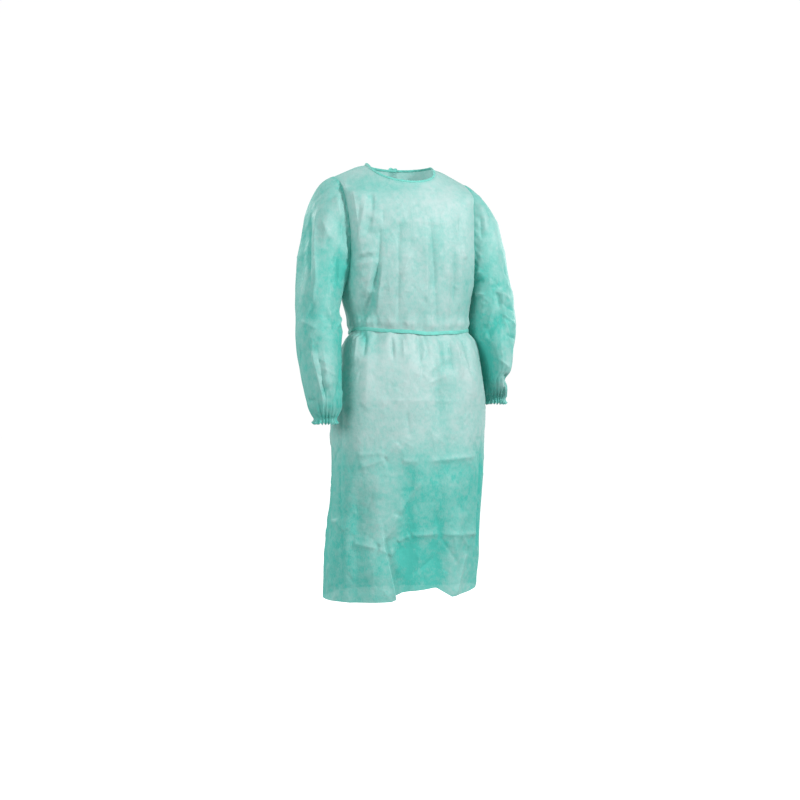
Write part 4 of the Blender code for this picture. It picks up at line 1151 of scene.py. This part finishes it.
def make_stitches(name, line, out, pitch, length, radius, lean, material):
    """A row of small thread stitches along a line on the cloth, as one joined mesh."""
    line, (out,), _ = resample(line, [out], pitch)
    forward = unit(np.gradient(line, axis=0))
    beside = unit(np.cross(out, forward))
    direction = unit(forward * math.cos(lean) + beside * math.sin(lean))
    t = np.array([-1.0, -0.6, 0.0, 0.6, 1.0])
    arch = radius * (0.9 - t**2 * 1.3)
    girth = radius * np.array([0.35, 0.9, 1.0, 0.9, 0.35])
    turn = 2 * math.pi * np.arange(6) / 6
    points, faces = [], []
    for k in range(0, len(line) - 1):
        middle = (line[k] + line[k + 1]) / 2
        side = np.cross(out[k], direction[k])
        first = len(points)
        for j in range(len(t)):
            ring_centre = middle + direction[k] * t[j] * length / 2 + out[k] * arch[j]
            for angle in turn:
                points.append(ring_centre + girth[j] * (side * math.cos(angle) + out[k] * math.sin(angle)))
        for j in range(len(t) - 1):
            for m in range(6):
                a, b = first + 6 * j + m, first + 6 * j + (m + 1) % 6
                faces.append((a, b, b + 6, a + 6))
        faces.append(tuple(first + m for m in range(5, -1, -1)))
        faces.append(tuple(first + 6 * (len(t) - 1) + m for m in range(6)))
    mesh = bpy.data.meshes.new(name)
    mesh.from_pydata([tuple(p) for p in points], [], faces)
    return finish_piece(mesh, name, material, [])


class Nodes:
    """Short hand for building one material's node tree."""

    def __init__(self, name):
        self.material = bpy.data.materials.new(name)
        self.material.use_nodes = True
        self.tree = self.material.node_tree
        self.tree.nodes.clear()

    def add(self, kind, settings=None, **inputs):
        node = self.tree.nodes.new(kind)
        for key, value in (settings or {}).items():
            setattr(node, key, value)
        for key, value in inputs.items():
            self.set(node, key.replace("_", " "), value)
        return node

    def set(self, node, key, value):
        socket = node.inputs[int(key)] if key.isdigit() else node.inputs[key]
        if isinstance(value, bpy.types.NodeSocket):
            self.tree.links.new(value, socket)
        else:
            socket.default_value = value

    def math(self, operation, first, second=0.0, clamp=False):
        node = self.add("ShaderNodeMath", {"operation": operation, "use_clamp": clamp})
        self.set(node, "0", first)
        self.set(node, "1", second)
        return node.outputs[0]

    def ramp(self, value, low, high):
        node = self.add("ShaderNodeMapRange", {"clamp": True})
        for key, setting in zip(("Value", "From Min", "From Max"), (value, low, high)):
            self.set(node, key, setting)
        return node.outputs["Result"]

    def mix(self, factor, first, second):
        node = self.add("ShaderNodeMix", {"data_type": "RGBA"})
        self.set(node, "0", factor)
        self.set(node, "6", first)
        self.set(node, "7", second)
        return node.outputs[2]


def noise(nodes, vector, scale, detail=4.0, roughness=0.55, kind="FBM"):
    node = nodes.add("ShaderNodeTexNoise", {"noise_type": kind, "normalize": True})
    for key, value in (("Vector", vector), ("Scale", scale), ("Detail", detail), ("Roughness", roughness)):
        nodes.set(node, key, value)
    return node.outputs[0]


def stretched(nodes, vector, scales):
    node = nodes.add("ShaderNodeMapping", {"vector_type": "POINT"})
    nodes.set(node, "Vector", vector)
    nodes.set(node, "Scale", scales)
    return node.outputs["Vector"]


def cloth_material(name, base_tone):
    """Thin spun-bonded cloth: clouded with denser and thinner fibre, a satin sheen, light comes through."""
    nodes = Nodes(name)
    place = nodes.add("ShaderNodeTexCoord").outputs["Object"]
    layers = nodes.add("ShaderNodeAttribute", {"attribute_name": "layers"}).outputs["Fac"]
    # The tone attribute holds painted light and shade with the cloth's own mottle and its paler top
    drawn = nodes.add("ShaderNodeAttribute", {"attribute_name": "tone"}).outputs["Fac"]
    fibres = noise(nodes, stretched(nodes, place, (330.0, 330.0, 170.0)), 1.0, 2.0, 0.7)
    wrinkles = noise(nodes, place, 75.0, 2.0, 0.6)

    speckled = nodes.math("MULTIPLY", nodes.math("SUBTRACT", fibres, 0.5), 0.55)
    tone = nodes.math("SUBTRACT", nodes.math("ADD", drawn, base_tone), speckled, True)
    doubled = nodes.math("SUBTRACT", layers, 1.0, True)
    tone = nodes.math("SUBTRACT", tone, nodes.math("MULTIPLY", doubled, DOUBLED_TONE), True)
    colour = nodes.mix(tone, (*DEEP_CLOTH, 1.0), (*PALE_CLOTH, 1.0))
    deeper = nodes.mix(nodes.math("MULTIPLY", tone, 0.6), (*DEEP_CLOTH, 1.0), (*PALE_CLOTH, 1.0))

    creases = noise(nodes, stretched(nodes, place, (70.0, 70.0, 20.0)), 1.0, 2.0, 0.5, "RIDGED_MULTIFRACTAL")
    relief = nodes.math("ADD", nodes.math("MULTIPLY", fibres, 0.14), wrinkles)
    relief = nodes.math("ADD", relief, nodes.math("MULTIPLY", creases, 0.22))
    bump = nodes.add("ShaderNodeBump", Strength=0.60, Distance=0.0022)
    nodes.set(bump, "Height", relief)

    cloth = nodes.add("ShaderNodeBsdfPrincipled")
    nodes.set(cloth, "Base Color", colour)
    nodes.set(cloth, "Roughness", nodes.ramp(fibres, -1.0, 1.75))
    nodes.set(cloth, "Specular IOR Level", 0.35)
    nodes.set(cloth, "Sheen Weight", 0.15)
    nodes.set(cloth, "Sheen Roughness", 0.45)
    nodes.set(cloth, "Sheen Tint", (0.85, 1.0, 0.97, 1.0))
    nodes.set(cloth, "Normal", bump.outputs["Normal"])
    through = nodes.add("ShaderNodeBsdfTranslucent")
    nodes.set(through, "Color", deeper)
    nodes.set(through, "Normal", bump.outputs["Normal"])
    lit = nodes.add("ShaderNodeMixShader", Fac=LIGHT_THROUGH)
    nodes.set(lit, "1", cloth.outputs[0])
    nodes.set(lit, "2", through.outputs[0])
    holes = nodes.add("ShaderNodeBsdfTransparent")
    skin = nodes.add("ShaderNodeMixShader", Fac=HOLES_SHARE)
    nodes.set(skin, "1", lit.outputs[0])
    nodes.set(skin, "2", holes.outputs[0])
    output = nodes.add("ShaderNodeOutputMaterial")
    nodes.set(output, "Surface", skin.outputs[0])
    return nodes.material


def strip_material(name, colour, roughness):
    """The denser folded cloth of the binding and the ties, with fine wrinkles."""
    nodes = Nodes(name)
    place = nodes.add("ShaderNodeTexCoord").outputs["Object"]
    clouds = noise(nodes, place, 120.0, 4.0, 0.6)
    fibres = noise(nodes, place, 900.0, 3.0, 0.7)
    tone = nodes.math("ADD", nodes.math("MULTIPLY", clouds, 0.7), nodes.math("MULTIPLY", fibres, 0.3))
    darker = tuple(part * 0.82 for part in colour)
    lighter = tuple(min(1.0, part * 1.18) for part in colour)
    base = nodes.mix(nodes.ramp(tone, 0.3, 0.7), (*darker, 1.0), (*lighter, 1.0))
    wrinkles = noise(nodes, place, 240.0, 4.0, 0.55, "RIDGED_MULTIFRACTAL")
    bump = nodes.add("ShaderNodeBump", Strength=0.5, Distance=0.0006)
    nodes.set(bump, "Height", nodes.math("ADD", wrinkles, nodes.math("MULTIPLY", fibres, 0.3)))
    cloth = nodes.add("ShaderNodeBsdfPrincipled")
    nodes.set(cloth, "Base Color", base)
    nodes.set(cloth, "Roughness", nodes.ramp(clouds, -roughness, 2 * roughness))
    nodes.set(cloth, "Sheen Weight", 0.2)
    nodes.set(cloth, "Normal", bump.outputs["Normal"])
    output = nodes.add("ShaderNodeOutputMaterial")
    nodes.set(output, "Surface", cloth.outputs[0])
    return nodes.material


def area_light(name, place, target, size, power):
    light = bpy.data.lights.new(name, "AREA")
    light.shape, light.size, light.energy = "DISK", size, power
    lamp = bpy.data.objects.new(name, light)
    bpy.context.scene.collection.objects.link(lamp)
    lamp.location = place
    away = unit(np.array(place, float) - np.array(target, float))
    lamp.rotation_euler = (math.acos(away[2]), 0.0, math.atan2(away[0], -away[1]))


def stage_material(name, base, glow):
    nodes = Nodes(name)
    pale = nodes.add("ShaderNodeBsdfPrincipled")
    nodes.set(pale, "Base Color", (base, base, base, 1.0))
    nodes.set(pale, "Roughness", 0.8)
    nodes.set(pale, "Emission Color", (1.0, 1.0, 1.0, 1.0))
    nodes.set(pale, "Emission Strength", glow)
    output = nodes.add("ShaderNodeOutputMaterial")
    nodes.set(output, "Surface", pale.outputs[0])
    return nodes.material


def make_stage():
    """A plain pale floor, a white surround that gives no light of its own, and soft studio lights."""
    scene = bpy.context.scene
    scene.view_settings.view_transform = "Standard"
    scene.cycles.max_bounces, scene.cycles.transparent_max_bounces = 4, 6
    world = bpy.data.worlds.new("studio")
    world.use_nodes = True
    background = world.node_tree.nodes["Background"]
    background.inputs["Color"].default_value = (1.0, 1.0, 1.0, 1.0)
    background.inputs["Strength"].default_value = 0.50
    scene.world = world

    mesh = bpy.data.meshes.new("floor")
    turn = 2 * math.pi * np.arange(64) / 64
    rim = [(STUDIO_RADIUS * math.cos(t), STUDIO_RADIUS * math.sin(t), FLOOR_Z) for t in turn]
    mesh.from_pydata(rim, [], [tuple(range(64))])
    mesh.materials.append(stage_material("floor", 0.80, 0.70))
    floor = bpy.data.objects.new("floor", mesh)
    scene.collection.objects.link(floor)

    bpy.ops.mesh.primitive_uv_sphere_add(segments=64, ring_count=32, radius=STUDIO_RADIUS * 1.2)
    surround = bpy.context.object
    surround.name = "surround"
    surround.data.shade_smooth()
    surround.data.materials.append(stage_material("surround", 0.0, 1.0))
    for stage in (floor, surround):
        stage.visible_diffuse = stage.visible_glossy = stage.visible_transmission = False
    surround.visible_shadow = False

    for light in LIGHTS:
        area_light(*light)


def make_camera():
    azimuth = math.radians(CAMERA_AZIMUTH)
    data = bpy.data.cameras.new("camera")
    data.lens, data.sensor_width = LENS, 36.0
    camera = bpy.data.objects.new("camera", data)
    camera.location = (
        CAMERA_DISTANCE * math.sin(azimuth),
        -CAMERA_DISTANCE * math.cos(azimuth),
        CAMERA_HEIGHT,
    )
    camera.rotation_euler = (math.pi / 2, 0.0, azimuth)
    bpy.context.scene.collection.objects.link(camera)
    bpy.context.scene.camera = camera


def main():
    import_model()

    body_cloth = cloth_material("body_cloth", BODY_TONE)
    sleeve_cloth = cloth_material("sleeve_cloth", SLEEVE_TONE)
    strip = strip_material("binding_cloth", BINDING, 0.5)
    thread = strip_material("thread", THREAD, 0.45)

    front = make_front()
    left = make_back(1, OVERLAP_LIFT, 41)
    right = make_back(-1, 0.0, 51)
    join_seams(front, left, right)
    soften_neck_points(front, left, right)
    sleeve_left, cuff_left_row = make_sleeve(LEFT_SLEEVE, 1, front, left, LEFT_SLEEVE_FOLDS, 61)
    sleeve_right, cuff_right_row = make_sleeve(RIGHT_SLEEVE, -1, front, right, RIGHT_SLEEVE_FOLDS, 71)
    mark_seams(front, (0, -1))
    mark_seams(left, (0,))
    mark_seams(right, (0,))

    front_piece = front.add("front_panel_cloth", "cloth", body_cloth, ["front_panel"])
    left_piece = left.add("back_panel_left_cloth", "cloth", body_cloth, ["back_panel_left"])
    right_piece = right.add("back_panel_right_cloth", "cloth", body_cloth, ["back_panel_right"])
    for side, skin, row in (
        ("left", sleeve_left, cuff_left_row),
        ("right", sleeve_right, cuff_right_row),
    ):
        sleeve = skin.add(f"sleeve_{side}_cloth", "cloth", sleeve_cloth, [f"sleeve_{side}"], slice(0, row + 1))
        cuff = skin.add(f"cuff_{side}_cloth", "cuff", sleeve_cloth, [f"cuff_{side}"], slice(row, None))

    binding, (edge, edge_out) = make_binding(front, left, right, strip)
    make_stitches("binding_stitches", edge, edge_out, 0.0036, 0.0024, 0.00016, 0.0, thread)
    tie = make_waist_tie(front, left, right, strip)

    point, normal, _ = down_centre_back(left, TIE_Z, 0.0)
    tie_off("waist", "waist_tie", left, point, normal, TIE_Z, WAIST_END, strip)
    point, normal = left.points[-1, CENTRE_BACK], left.normals[-1, CENTRE_BACK]
    tie_off("neck", "neck_tie", left, point, normal, point[2], NECK_END, strip)

    make_stage()
    make_camera()
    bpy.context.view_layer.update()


main()
